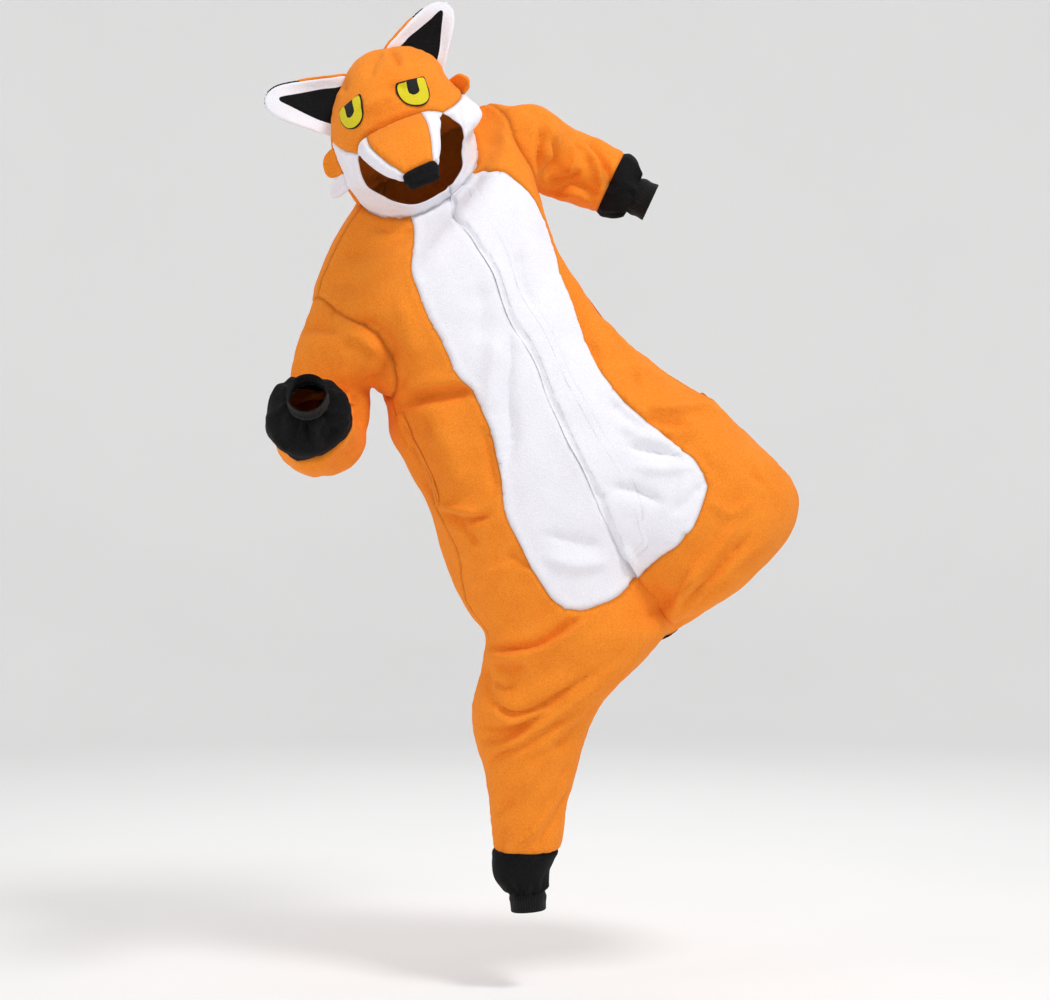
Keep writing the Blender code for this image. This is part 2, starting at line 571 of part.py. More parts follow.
def hood_sheets(cloth):
    right_neck, left_neck = neck_line("right"), neck_line("left")
    neck = np.vstack((right_neck[::-1] * (-1, 1), left_neck[1:]))
    sides = [spaced(hood_place, [(end, 0.0), (end, DOME_ROW)], HOOD_STEP) for end in (-1.0, 1.0)]
    top = spaced(hood_place, [(reach, DOME_ROW) for reach in (-1, -EAR_SEAM, 0, EAR_SEAM, 1)], HOOD_STEP)
    face = face_outline()
    outline = np.vstack((neck, sides[1][1:], top[::-1][1:], sides[0][::-1][1:]))
    seams = [np.vstack((face, face[:1])), spaced(hood_place, [(0, 0), (0, 0.3)], HOOD_STEP)]
    for end, corner in ((-EAR_SEAM, BROW_EDGE[0]), (EAR_SEAM, BROW_EDGE[-1])):
        seams.append(spaced(hood_place, [(end, 0.0), (end, CHEEK_TOP), (end, DOME_ROW)], HOOD_STEP))
        seams.append(spaced(hood_place, [corner, (end, CHEEK_TOP)], HOOD_STEP))
    flat = flat_chart(hood_place, (-1, 1), (0, DOME_ROW), 3)
    points, faces = fill_sheet(hood_place, flat, outline, seams, (-1, 1), (0, DOME_ROW), HOOD_STEP)
    faces = faces[~inside(face, points[faces].mean(axis=1))]
    add_hood(cloth, points, faces)

    pole = len(HOOD_RINGS) * 1.0
    rim = spaced(hood_place, [(reach, DOME_ROW) for reach in (-1, -EAR_SEAM, 0, EAR_SEAM, 1)], HOOD_STEP)
    rim[0, 0] = 1.0
    seams = [spaced(hood_place, [(reach, DOME_ROW), (reach, pole)], HOOD_STEP)
             for reach in (-EAR_SEAM, EAR_SEAM, 1.0)]
    for seam in seams:
        seam[-1] = (0.0, pole)
    flat = flat_chart(hood_place, (-1, 1), (DOME_ROW, pole), pole, polar=True)
    points, faces = fill_sheet(hood_place, flat, rim, seams, (-1, 1), (DOME_ROW, pole), HOOD_STEP)
    add_hood(cloth, points, faces, polar=True)


def add_hood(cloth, points, faces, polar=False):
    solid = hood_place(points[:, 0], points[:, 1])
    centres = points[faces].mean(axis=1)
    if polar:
        turn = points * (math.pi, 1)
        flat = np.column_stack((np.sin(turn[:, 0]), np.cos(turn[:, 0])))
        flat *= (len(HOOD_RINGS) + 0.001 - points[:, 1])[:, None]
        heading = flat[faces].mean(axis=1)
        centres[:, 0] = np.arctan2(heading[:, 0], heading[:, 1]) / math.pi
    middle = through(HOOD, np.minimum(centres[:, 1], 4.5))[:, 0:3]
    cloth.add(solid, faces, [hood_piece(*spot) for spot in centres], [""] * len(faces), middle)


# ---------------------------------------------------------------- snout
# Columns: x, y, z, half_width, above, below, power (1 is an ellipse, less is squarer).
SNOUT_RINGS = (
    (-0.210, -0.214, 1.500, 0.070, 0.034, 0.036, 1.0),
    (-0.191, -0.243, 1.468, 0.053, 0.027, 0.026, 0.9),
    (-0.177, -0.264, 1.446, 0.033, 0.015, 0.012, 0.6),       # nose seam
    (-0.171, -0.272, 1.431, 0.028, 0.012, 0.010, 0.5),
    (-0.169, -0.275, 1.426, 0.026, 0.010, 0.008, 0.5),
)
SNOUT_LEVEL = (0.94, 0.0, 0.342)        # the line of the eyes
NOSE_ROW = 3
SNOUT_TOP_SHARE = 0.58                  # share of the brow that the orange top takes


def snout_sheet(cloth):
    """A tube sewn to the brow, open to the hood behind, with a blunt end."""
    brow = smooth_line(hood_place, BROW_EDGE, HOOD_STEP)
    top = hood_place(brow[:, 0], brow[:, 1])
    under = len(top) - 1
    part = np.arange(1, under) / under
    sag = np.sin(part * math.pi)[:, None] * np.array((0.004, -0.004, -0.030))
    low = top[-1] * (1 - part[:, None]) + top[0] * part[:, None] + sag
    base = np.vstack((top, low))
    turn = np.concatenate((np.linspace(-0.5, 0.5, len(top)), 0.5 + part)) * math.pi
    rings = columns(SNOUT_RINGS)
    along = unit(np.gradient(np.vstack((top.mean(axis=0), rings[:, 0:3])), axis=0))[1:]
    grid = [base]
    for ring, facing in zip(rings, along):
        level = np.array(SNOUT_LEVEL)
        level = unit(level - facing * (level @ facing))
        above = np.cross(level, facing)
        above = above * np.sign(above[2])
        across = np.sign(np.sin(turn)) * np.abs(np.sin(turn)) ** ring[6]
        upward = np.sign(np.cos(turn)) * np.abs(np.cos(turn)) ** ring[6]
        height = np.where(upward > 0, ring[4], ring[5]) * upward
        grid.append(ring[0:3] + np.outer(across * ring[3], level) + np.outer(height, above))
    grid = through(np.array(grid), np.linspace(0, len(rings), 2 * len(rings) + 1))
    around = len(base)
    tip = grid[-1].mean(axis=0) + along[-1] * 0.003
    points = np.vstack((grid.reshape(-1, 3), tip))
    spare = round(under * (1 - SNOUT_TOP_SHARE) / 2)
    faces, piece, middle = [], [], []
    for line in range(len(grid) - 1):
        for spot in range(around):
            a, b = line * around + spot, line * around + (spot + 1) % around
            faces += [(a, b, a + around), (b, b + around, a + around)]
            name = "snout_top" if spare <= spot < under - spare else "snout_side_left"
            if spot < spare or spot >= under + under // 2:
                name = "snout_side_right"
            if line >= 2 * NOSE_ROW:
                name = "nose"
            piece += [name] * 2
            middle += [grid[line:line + 2].mean(axis=(0, 1))] * 2
    last = (len(grid) - 1) * around
    faces += [(last + spot, last + (spot + 1) % around, len(points) - 1) for spot in range(around)]
    piece += ["nose"] * around
    middle += [grid[-3].mean(axis=0)] * around
    cloth.add(points, faces, piece, [""] * len(faces), np.array(middle))


# ---------------------------------------------------------------- ears and tufts
# Columns: side, first_row, last_row, tip_x, tip_y, tip_z, cup.
EARS = (
    ("right", 3.62, 5.62, -0.457, -0.090, 1.598, 0.012),
    ("left", 4.35, 6.80, -0.138, -0.085, 1.770, 0.012),
)
TUFTS = (
    ("tuft_upper_right", "right", 3.20, 2.45, -0.353, -0.072, 1.476, 0.002),
    ("tuft_lower_right", "right", 2.35, 1.75, -0.343, -0.055, 1.434, 0.002),
    ("tuft_upper_left", "left", 3.98, 3.45, -0.104, -0.088, 1.634, 0.002),
)
EAR_GAP = 0.0008
INNER_LIFT = 0.0007
TUFT_GAP = 0.0014
EAR_SPOTS, TUFT_SPOTS = 8, 4
EAR_LINES = (0.0, 0.20, 0.40, 0.60, 0.78, 0.92, 1.0)   # parts of the way to the tip
TUFT_LINES = (0.0, 0.30, 0.60, 0.85, 1.0)
INNER_LINES = (0.0, 0.20, 0.40, 0.60, 0.80)
INNER_WIDTH = 0.62                      # share of the foot that the black triangle takes
EAR_BLACK_LINE = 3                      # the back of an ear is black from here to its tip


def ear_width(far):
    """Width of an ear at a part of the way to its tip: straight sides and a blunt tip."""
    return (1 - 0.58 * far) * math.sqrt(1 - far ** 10)


def tuft_width(far):
    """Width of a tuft at a part of the way to its tip: a round tab."""
    return math.sqrt(1 - far ** 3)


def inner_width(far):
    """Width of the black triangle at a part of the way to the tip of its ear."""
    return INNER_WIDTH * (1 - far / INNER_LINES[-1])


def leaf(side, first_row, last_row, tip, cup, width, lines, spots, gap, whole_width=None):
    """A flap on the side of the hood, or a shape laid on one: points in lines, and its facing."""
    reach = 0.5 * OUTWARD[side]
    whole_width = whole_width or width
    centre = hood_place(reach, np.linspace(first_row, last_row, EAR_SPOTS + 1)).mean(axis=0)
    out = unit(tip - centre)
    grid = []
    for far in lines:
        spot = np.linspace(-1, 1, spots + 1) * width(far) / max(whole_width(far), 0.001)
        foot = hood_place(reach, first_row + (last_row - first_row) * (spot + 1) / 2) + out * gap
        rise = math.sin(math.pi * min(1, far + 0.25))
        hollow = np.array((0, cup, 0)) * (1 - spot[:, None] ** 2) * rise
        grid.append(centre + (tip - centre) * far + (foot - centre) * whole_width(far) + hollow)
    lines = len(lines) - 1
    tip = grid[-1][spots // 2]
    grid = np.array(grid)
    faces, marks = [], []
    for line in range(lines):
        for spot in range(spots):
            a = line * (spots + 1) + spot
            c, d = a + spots + 2, a + spots + 1
            if line == lines - 1:
                faces.append((a, a + 1, lines * (spots + 1)))
                marks.append((line, spot))
                continue
            faces += [(a, a + 1, c), (a, c, d)]
            marks += [(line, spot)] * 2
    points = np.vstack((grid[:-1].reshape(-1, 3), tip))
    faces, normals = facing_front(points, np.array(faces))
    return points, normals, faces, np.array(marks)


def facing_front(points, faces):
    """Turn the faces of a flap to the front (-Y) and give the normals at its points."""
    corners = points[faces]
    normal = np.cross(corners[:, 1] - corners[:, 0], corners[:, 2] - corners[:, 0])
    if normal[:, 1].sum() > 0:
        faces, normal = faces[:, ::-1], -normal
    normals = np.zeros_like(points)
    for corner in range(3):
        np.add.at(normals, faces[:, corner], normal)
    return faces, unit(normals)


def ears():
    for side, first_row, last_row, *tip, cup in EARS:
        place = (side, first_row, last_row, np.array(tip), cup)
        points, normals, faces, marks = leaf(*place, ear_width, EAR_LINES, EAR_SPOTS, EAR_GAP)
        half = SEAM_GAP / 2
        black = marks[:, 0] >= EAR_BLACK_LINE
        wall_piece("ear_front_" + side, points, normals, faces, half + WALL, half)
        wall_piece("ear_back_" + side, points, normals, faces[~black], -half, -half - WALL)
        wall_piece("ear_back_tip_" + side, points, normals, faces[black], -half, -half - WALL)
        lift = half + WALL + INNER_LIFT
        points, normals, faces, _ = leaf(*place, inner_width, INNER_LINES, EAR_SPOTS // 2,
                                         EAR_GAP, ear_width)
        wall_piece("ear_inner_" + side, points, normals, faces, lift + TRIM_WALL, lift)


def tufts():
    for name, side, first_row, last_row, *tip, cup in TUFTS:
        points, normals, faces, _ = leaf(side, first_row, last_row, np.array(tip), cup,
                                         tuft_width, TUFT_LINES, TUFT_SPOTS, TUFT_GAP)
        wall_piece(name, points, normals, faces, WALL / 2, -WALL / 2)


# ---------------------------------------------------------------- eyes
# Columns: side, reach, row.
EYES = (("right", -0.222, 4.16), ("left", 0.112, 4.16))
EYE_WIDTH, EYE_HEIGHT = 0.058, 0.049
OUTLINE_WIDTH = 0.003
PUPIL_WIDTH, PUPIL_DEPTH = 0.022, 0.028
EYE_LIFT = 0.0009


def lid_shape(width, height):
    """A D on its back: flat on top, round below; its middle is the origin."""
    turn = np.linspace(0, math.pi, 13)
    low = height * 0.22
    bottom = np.column_stack((np.cos(turn) * width / 2, -np.sin(turn) * (height / 2 + low) + low))
    top = np.linspace(-0.5, 0.5, 8)[:-1, None] * (width, 0) + (0, height / 2)
    return np.vstack(((width / 2, height / 2), bottom, top))


def iris_shape():
    """The same, narrower, with a round slot for the pupil from the top."""
    width, height = EYE_WIDTH - 2 * OUTLINE_WIDTH, EYE_HEIGHT - 2 * OUTLINE_WIDTH
    turn = np.linspace(math.pi, 0, 7)[:, None]
    top = height / 2
    low = top - PUPIL_DEPTH + PUPIL_WIDTH / 2
    slot = np.hstack((np.cos(turn), -np.sin(turn))) * PUPIL_WIDTH / 2 + (0, low)
    slot = np.vstack(((-PUPIL_WIDTH / 2, top), slot, (PUPIL_WIDTH / 2, top)))
    return np.vstack((lid_shape(width, height), slot))


def patch(outline, spacing):
    """Triangles inside a small outline."""
    corner = outline.max(axis=0)
    across = np.arange(-corner[0], corner[0], spacing)
    grid = np.array([(x, y) for x in across for y in across])
    grid = grid[inside(outline * 0.90, grid)]
    near = np.linalg.norm(grid[:, None] - outline[None], axis=2).min(axis=1)
    points = np.vstack((outline, grid[near > spacing * 0.6]))
    edges = [(k, (k + 1) % len(outline)) for k in range(len(outline))]
    found = delaunay_2d_cdt([Vector(point) for point in points], edges, [], 0, 1e-7, True)
    source = [owners[0] for owners in found[3]]
    faces = np.array([[source[corner] for corner in face] for face in found[2]])
    return points, faces[inside(outline, points[faces].mean(axis=1))]


def eyes():
    for side, reach, row in EYES:
        for name, outline, lift in (("eye_outline_", lid_shape(EYE_WIDTH, EYE_HEIGHT), EYE_LIFT),
                                    ("iris_", iris_shape(), EYE_LIFT + STITCH_WALL + 2 * SEAM_GAP)):
            spots, faces = patch(outline, 0.009)
            points, normals = on_hood(reach, row, spots)
            faces, _ = facing_front(points, faces)
            wall_piece(name + side, points, normals, faces, lift + STITCH_WALL, lift)


def on_hood(reach, row, spots):
    """Points and normals of the hood at small distances (across, up) from one of its places."""
    small = 0.01
    centre = hood_place(reach, row)[0]
    by_reach = (hood_place(reach + small, row)[0] - centre) / small
    by_row = (hood_place(reach, row + small)[0] - centre) / small
    level = np.array(SNOUT_LEVEL)
    normal = unit(np.cross(by_reach, by_row))
    across = unit(level - normal * (level @ normal))
    up = np.cross(normal, across)
    up = up * np.sign(up[2])
    wanted = np.outer(spots[:, 0], across) + np.outer(spots[:, 1], up)
    step = np.linalg.lstsq(np.column_stack((by_reach, by_row)), wanted.T, rcond=None)[0].T
    flat = np.array((reach, row)) + step
    points = hood_place(flat[:, 0], flat[:, 1])
    beside = hood_place(flat[:, 0] + small, flat[:, 1]) - points
    above = hood_place(flat[:, 0], flat[:, 1] + small) - points
    normals = unit(np.cross(beside, above))
    return points, normals * np.sign(-normals[:, 1:2])


# ---------------------------------------------------------------- the largest folds
# Seen from the front (-Y) or back: half the width of the fold, its height (a trough is
# less than 0), and the places (x, z) it runs through, above the floor.
# Columns: cloth, facing, half_width, height, places.
FOLDS = (
    ("leg", "front", 0.026, 0.011, ((-0.085, 0.630), (0.027, 0.628), (0.140, 0.668))),
    ("leg", "front", 0.024, -0.009, ((-0.080, 0.585), (0.020, 0.585), (0.120, 0.625))),
    ("leg", "front", 0.024, 0.010, ((-0.090, 0.510), (0.004, 0.509), (0.120, 0.572))),
    ("leg", "front", 0.020, -0.008, ((-0.085, 0.470), (0.000, 0.485), (0.090, 0.545))),
    ("leg", "front", 0.020, 0.008, ((-0.080, 0.430), (-0.005, 0.470), (0.080, 0.520))),
    ("leg", "front", 0.018, 0.007, ((0.050, 0.400), (0.020, 0.350), (-0.012, 0.275))),
    ("leg", "front", 0.024, 0.010, ((0.272, 0.690), (0.371, 0.782), (0.450, 0.880))),
    ("leg", "front", 0.022, -0.009, ((0.240, 0.740), (0.330, 0.810), (0.400, 0.900))),
    ("leg", "front", 0.022, 0.008, ((0.310, 0.990), (0.380, 0.940), (0.430, 0.900))),
    ("torso", "front", 0.022, -0.009, ((-0.245, 1.076), (-0.160, 1.078), (-0.090, 1.060))),
    ("torso", "front", 0.022, 0.009, ((-0.190, 0.905), (-0.110, 0.862), (-0.050, 0.866))),
    ("torso", "front", 0.024, 0.008, ((-0.075, 1.330), (-0.040, 1.200), (-0.020, 1.080))),
    ("torso", "front", 0.024, 0.008, ((0.120, 1.120), (0.090, 1.000), (0.130, 0.900))),
    ("torso", "front", 0.022, -0.008, ((-0.150, 0.830), (-0.110, 0.740), (-0.080, 0.680))),
    ("torso", "back", 0.026, 0.010, ((-0.150, 1.050), (0.000, 1.020), (0.120, 1.090))),
    ("torso", "back", 0.026, -0.009, ((-0.120, 0.960), (0.020, 0.940), (0.160, 1.020))),
    ("torso", "back", 0.026, 0.010, ((-0.080, 0.850), (0.080, 0.850), (0.220, 0.930))),
    ("leg", "back", 0.026, 0.011, ((-0.080, 0.620), (0.040, 0.640), (0.150, 0.700))),
    ("leg", "back", 0.024, 0.010, ((-0.085, 0.500), (0.010, 0.520), (0.110, 0.580))),
    ("leg", "back", 0.020, -0.008, ((-0.070, 0.420), (0.010, 0.440), (0.080, 0.470))),
    ("sleeve_right", "front", 0.020, 0.008, ((-0.385, 1.190), (-0.330, 1.150), (-0.290, 1.080))),
    ("sleeve_right", "back", 0.022, 0.009, ((-0.400, 1.080), (-0.340, 1.060), (-0.290, 1.080))),
    ("sleeve_left", "front", 0.018, 0.009, ((0.010, 1.470), (0.030, 1.520), (0.060, 1.575))),
    ("sleeve_left", "front", 0.018, -0.008, ((0.035, 1.455), (0.065, 1.500), (0.100, 1.555))),
    ("sleeve_left", "front", 0.016, 0.007, ((0.075, 1.435), (0.105, 1.480), (0.140, 1.530))),
    ("sleeve_left", "back", 0.020, 0.008, ((0.020, 1.470), (0.060, 1.520), (0.090, 1.570))),
)
CLOTH_OF_FOLD = {
    "leg": ("front_", "back_", "belly_"), "torso": ("front_", "back_", "belly_"),
    "sleeve_right": ("sleeve_right",), "sleeve_left": ("sleeve_left",),
}


def near_line(points, places):
    """Distance from a line through the places, and how far along it (0 to 1)."""
    line = through(columns(places), np.linspace(0, len(places) - 1, 8 * (len(places) - 1) + 1))
    away = np.linalg.norm(points[:, None] - line[None], axis=2)
    return away.min(axis=1), away.argmin(axis=1) / (len(line) - 1)


def raise_folds(cloth):
    """Push the surface out or in along the folds."""
    move = np.zeros(len(cloth.points))
    for kind, facing, half_width, height, places in FOLDS:
        of_cloth = np.zeros(len(cloth.points), bool)
        for face, piece in zip(cloth.faces, cloth.piece):
            if piece.startswith(CLOTH_OF_FOLD[kind]):
                of_cloth[face] = True
        away, along = near_line(cloth.points[:, (0, 2)], places)
        toward = -cloth.normals[:, 1] if facing == "front" else cloth.normals[:, 1]
        seen = np.clip(toward * 2, 0, 1)
        fade = np.clip(np.sin(math.pi * np.clip(along, 0.04, 0.96)) * 1.6, 0, 1)
        move += np.where(of_cloth, height * np.exp(-(away / half_width) ** 2) * seen * fade, 0)
    cloth.points = cloth.points + cloth.normals * move[:, None]
    cloth.normals = cloth.vertex_normals()


# ---------------------------------------------------------------- making the solids
MATERIALS = {
    "orange_fleece": (0.90, 0.30, 0.045),
    "white_fleece": (0.86, 0.86, 0.90),
    "black_fleece": (0.012, 0.012, 0.013),
    "black_rib": (0.014, 0.014, 0.016),
    "yellow_stitch": (0.75, 0.66, 0.05),
}


MATERIAL_OF = (         # the first word that a piece's name starts with decides
    ("ankle_cuff", "black_rib"), ("wrist_cuff", "black_rib"),
    ("leg_end", "black_fleece"), ("sleeve_end", "black_fleece"), ("nose", "black_fleece"),
    ("ear_inner", "black_fleece"), ("ear_back_tip", "black_fleece"), ("eye_outline", "black_fleece"),
    ("belly", "white_fleece"), ("placket", "white_fleece"), ("cheek", "white_fleece"),
    ("ear_front", "white_fleece"), ("tuft_lower", "white_fleece"), ("snout_side", "white_fleece"),
    ("iris", "yellow_stitch"), ("", "orange_fleece"),
)


def material_of(piece):
    return next(slot for start, slot in MATERIAL_OF if piece.startswith(start))


def make_object(name, points, faces):
    points = np.asarray(points) - NECK_HOLD
    mesh = bpy.data.meshes.new(name)
    mesh.from_pydata([tuple(point) for point in points], [], [tuple(int(k) for k in face) for face in faces])
    mesh.update()
    slot = material_of(name)
    material = bpy.data.materials.new(name + "_" + slot)
    material.use_nodes = True
    shader = material.node_tree.nodes["Principled BSDF"]
    shader.inputs["Base Color"].default_value = (*MATERIALS[slot], 1)
    shader.inputs["Roughness"].default_value = 0.9
    mesh.materials.append(material)
    made = bpy.data.objects.new(name, mesh)
    bpy.context.scene.collection.objects.link(made)
    return made


def wall_piece(name, points, normals, faces, outer, inner):
    """A closed wall over some triangles, its edge half a seam gap inside the seam."""
    faces = np.asarray(faces)
    used, local = np.unique(faces, return_inverse=True)
    faces = local.reshape(-1, 3)
    points, normals = points[used], normals[used]
    pairs = {}
    for a, b, c in faces:
        for edge in ((a, b), (b, c), (c, a)):
            pairs[edge] = True
    border = [edge for edge in pairs if (edge[1], edge[0]) not in pairs]
    leaving = {}
    arriving = {}
    for a, b in border:
        assert a not in leaving, name + " touches itself at a point"
        leaving[a], arriving[b] = b, a
    moved = points.copy()
    for spot, after in leaving.items():
        before = arriving[spot]
        up = normals[spot]
        inward = []
        for start, end in ((before, spot), (spot, after)):
            run = points[end] - points[start]
            run = run - up * (run @ up)
            inward.append(np.cross(up, run / np.linalg.norm(run)))
        half = unit(inward[0] + inward[1])
        moved[spot] = points[spot] + half * min(2.5, 1 / max(half @ inward[0], 0.3)) * SEAM_GAP / 2
    count = len(points)
    shell = [tuple(face) for face in faces] + [tuple(k + count for k in face[::-1]) for face in faces]
    for a, b in border:
        # the neighbour's edge is cut along the same diagonal, so the two run parallel
        if a < b:
            shell += [(b, a, b + count), (a, a + count, b + count)]
        else:
            shell += [(b, a, a + count), (b, a + count, b + count)]
    return make_object(name, np.vstack((moved + normals * outer, moved + normals * inner)), shell)


def cloth_pieces(cloth):
    order = sorted(set(cloth.piece))
    for name in order:
        chosen = [face for face, piece in zip(cloth.faces, cloth.piece) if piece == name]
        wall_piece(name, cloth.points, cloth.normals, chosen, 0.0, -(RIB_WALL if "cuff" in name else WALL))
    for name in sorted(set(cloth.laid) - {""}):
        chosen = [face for face, piece in zip(cloth.faces, cloth.laid) if piece == name]
        wall_piece(name, cloth.points, cloth.normals, chosen, SEAM_GAP + TRIM_WALL, SEAM_GAP)


for old in list(bpy.data.objects):
    bpy.data.objects.remove(old, do_unlink=True)
CLOTH = Cloth()
for SIDE in ("right", "left"):
    body_sheet(CLOTH, SIDE)
    sleeve_sheet(CLOTH, SIDE)
hood_sheets(CLOTH)
snout_sheet(CLOTH)
CLOTH.weld()
raise_folds(CLOTH)
cloth_pieces(CLOTH)
ears()
tufts()
eyes()
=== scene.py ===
import math
import bmesh
import bpy
import numpy as np
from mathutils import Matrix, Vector, kdtree, noise


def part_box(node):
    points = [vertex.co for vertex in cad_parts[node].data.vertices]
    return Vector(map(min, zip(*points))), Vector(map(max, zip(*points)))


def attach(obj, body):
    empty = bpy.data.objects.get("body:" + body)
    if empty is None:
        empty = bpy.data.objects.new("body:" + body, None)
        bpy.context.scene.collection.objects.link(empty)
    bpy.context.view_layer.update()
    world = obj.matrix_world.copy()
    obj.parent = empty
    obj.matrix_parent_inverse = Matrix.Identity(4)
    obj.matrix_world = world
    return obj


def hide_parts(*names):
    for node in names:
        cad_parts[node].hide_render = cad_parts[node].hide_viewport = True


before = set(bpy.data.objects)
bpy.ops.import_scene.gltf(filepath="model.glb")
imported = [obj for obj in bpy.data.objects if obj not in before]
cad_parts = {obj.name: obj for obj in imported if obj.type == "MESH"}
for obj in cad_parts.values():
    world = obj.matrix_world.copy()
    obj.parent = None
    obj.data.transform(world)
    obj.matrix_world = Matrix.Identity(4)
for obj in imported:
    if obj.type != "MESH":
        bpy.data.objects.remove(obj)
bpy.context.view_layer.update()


# ---------------------------------------------------------------- the sewn skin
# All the suit but the small pieces sewn onto it is one skin of fleece 2.5 mm thick, sewn edge to
# edge. Its outer face is made here once, with its folds, its seams and the gathers above its
# cuffs, and the pieces below are cut from it along the seams.
SEWN = (
    "belly_right", "belly_left", "front_right", "front_left", "back_right", "back_left",
    "leg_end_right", "leg_end_left", "ankle_cuff_right", "ankle_cuff_left",
    "sleeve_right", "sleeve_left", "sleeve_end_right", "sleeve_end_left",
    "wrist_cuff_right", "wrist_cuff_left", "hood_front", "hood_back_right", "hood_back_left",
    "cheek_right", "cheek_left", "snout_top", "snout_side_right", "snout_side_left", "nose",
)
FLEECE_WALL = 0.0025
RIB_WALL = 0.0022
SEAM_REACH = 0.0009         # cut edges nearer than this are sewn together
SEAM_HOLD = 0.45            # how firmly the smoothing keeps a seam's line


def merged(name):
    """The mesh of a frame piece as a bmesh, with its corners joined."""
    cloth = bmesh.new()
    cloth.from_mesh(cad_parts[name].data)
    bmesh.ops.remove_doubles(cloth, verts=cloth.verts, dist=0.00001)
    return cloth


def smoothed(cloth, levels):
    """Points, quads and piece numbers of a bmesh made finer, still through its own points."""
    bmesh.ops.join_triangles(cloth, faces=cloth.faces, cmp_materials=True,
                             angle_face_threshold=math.pi, angle_shape_threshold=math.pi)
    mesh = bpy.data.meshes.new("smoothed")
    cloth.to_mesh(mesh)
    cloth.free()
    piece = bpy.data.objects.new("smoothed", mesh)
    bpy.context.scene.collection.objects.link(piece)
    finer = piece.modifiers.new("finer", "SUBSURF")
    finer.levels = levels
    count = len(mesh.vertices)
    wanted = np.empty(count * 3)
    mesh.vertices.foreach_get("co", wanted)
    corners = wanted.copy()
    for _ in range(3):
        mesh.vertices.foreach_set("co", corners)
        mesh.update()
        piece.update_tag()
        bpy.context.view_layer.update()
        fine = piece.evaluated_get(bpy.context.evaluated_depsgraph_get()).data
        points = np.empty(len(fine.vertices) * 3)
        fine.vertices.foreach_get("co", points)
        corners += wanted - points[:count * 3]
    quads = np.empty(len(fine.polygons) * 4, int)
    fine.polygons.foreach_get("vertices", quads)
    numbers = np.empty(len(fine.polygons), int)
    fine.polygons.foreach_get("material_index", numbers)
    bpy.data.objects.remove(piece)
    bpy.data.meshes.remove(mesh)
    return points.reshape(-1, 3), quads.reshape(-1, 4), numbers


def unit(vectors):
    """Vectors brought to length 1."""
    return vectors / np.maximum(np.linalg.norm(vectors, axis=-1, keepdims=True), 1e-12)


def normals_of(points, quads):
    """The outward direction at each point."""
    across = points[quads[:, 2]] - points[quads[:, 0]]
    normals = np.cross(across, points[quads[:, 3]] - points[quads[:, 1]])
    total = np.zeros_like(points)
    for corner in range(4):
        np.add.at(total, quads[:, corner], normals)
    return unit(total)


def outer_skin():
    """Points, quads and piece numbers of the outer face of all that is sewn."""
    skin = bmesh.new()
    for number, name in enumerate(SEWN):
        cloth = merged(name)
        wall = RIB_WALL if "cuff" in name else FLEECE_WALL
        cut_edge = {face for edge in cloth.edges
                    if abs(edge.calc_length() - wall) < 0.00002 for face in edge.link_faces}
        bmesh.ops.delete(cloth, geom=list(cut_edge), context="FACES")
        for face in cloth.faces:
            face.material_index = number
        part = bpy.data.meshes.new(name + "_part")
        cloth.to_mesh(part)
        cloth.free()
        skin.from_mesh(part)
        bpy.data.meshes.remove(part)
    bmesh.ops.remove_doubles(skin, verts=skin.verts, dist=SEAM_REACH)
    loose, faces_of = set(skin.faces), []
    while loose:
        group = [loose.pop()]
        for face in group:
            for edge in face.edges:
                for other in edge.link_faces:
                    if other in loose:
                        loose.remove(other)
                        group.append(other)
        faces_of.append(group)
    faces_of.sort(key=lambda group: sum(face.calc_area() for face in group))
    inner = [face for group in faces_of[:-1] for face in group]
    bmesh.ops.delete(skin, geom=inner, context="FACES")
    held = skin.edges.layers.float.new("crease_edge")
    for edge in skin.edges:
        if len({face.material_index for face in edge.link_faces}) == 2:
            edge[held] = SEAM_HOLD
    return smoothed(skin, 3)


skin, quads, piece_of = outer_skin()
sewn_at = skin.copy()       # where the skin is before its folds are made
facing = normals_of(skin, quads)


def corners_of(*names):
    """Which points of the skin belong to the pieces whose names start so."""
    chosen = np.zeros(len(skin), bool)
    for number, name in enumerate(SEWN):
        if name.startswith(names):
            chosen[quads[piece_of == number]] = True
    return chosen


def nearest(targets, wanted):
    """For each wanted point, which of the targets is nearest, and how far it is."""
    tree = kdtree.KDTree(len(targets))
    for number, place in enumerate(targets):
        tree.insert(place, number)
    tree.balance()
    found = [tree.find(place)[1:] for place in wanted]
    return np.array([one[0] for one in found]), np.array([one[1] for one in found])


def curve_through(places, spots):
    """A smooth line of this many spots through a few places."""
    places = np.array(places, float)
    padded = np.vstack((2 * places[0] - places[1], places, 2 * places[-1] - places[-2]))
    at = np.linspace(0, len(places) - 1, spots)
    first = np.minimum(at.astype(int), len(places) - 2)
    t = (at - first)[:, None]
    a, b, c, d = (padded[first + step] for step in range(4))
    return 0.5 * (2 * b + (c - a) * t + (2 * a - 5 * b + 4 * c - d) * t ** 2
                  + (3 * b - a - 3 * c + d) * t ** 3)


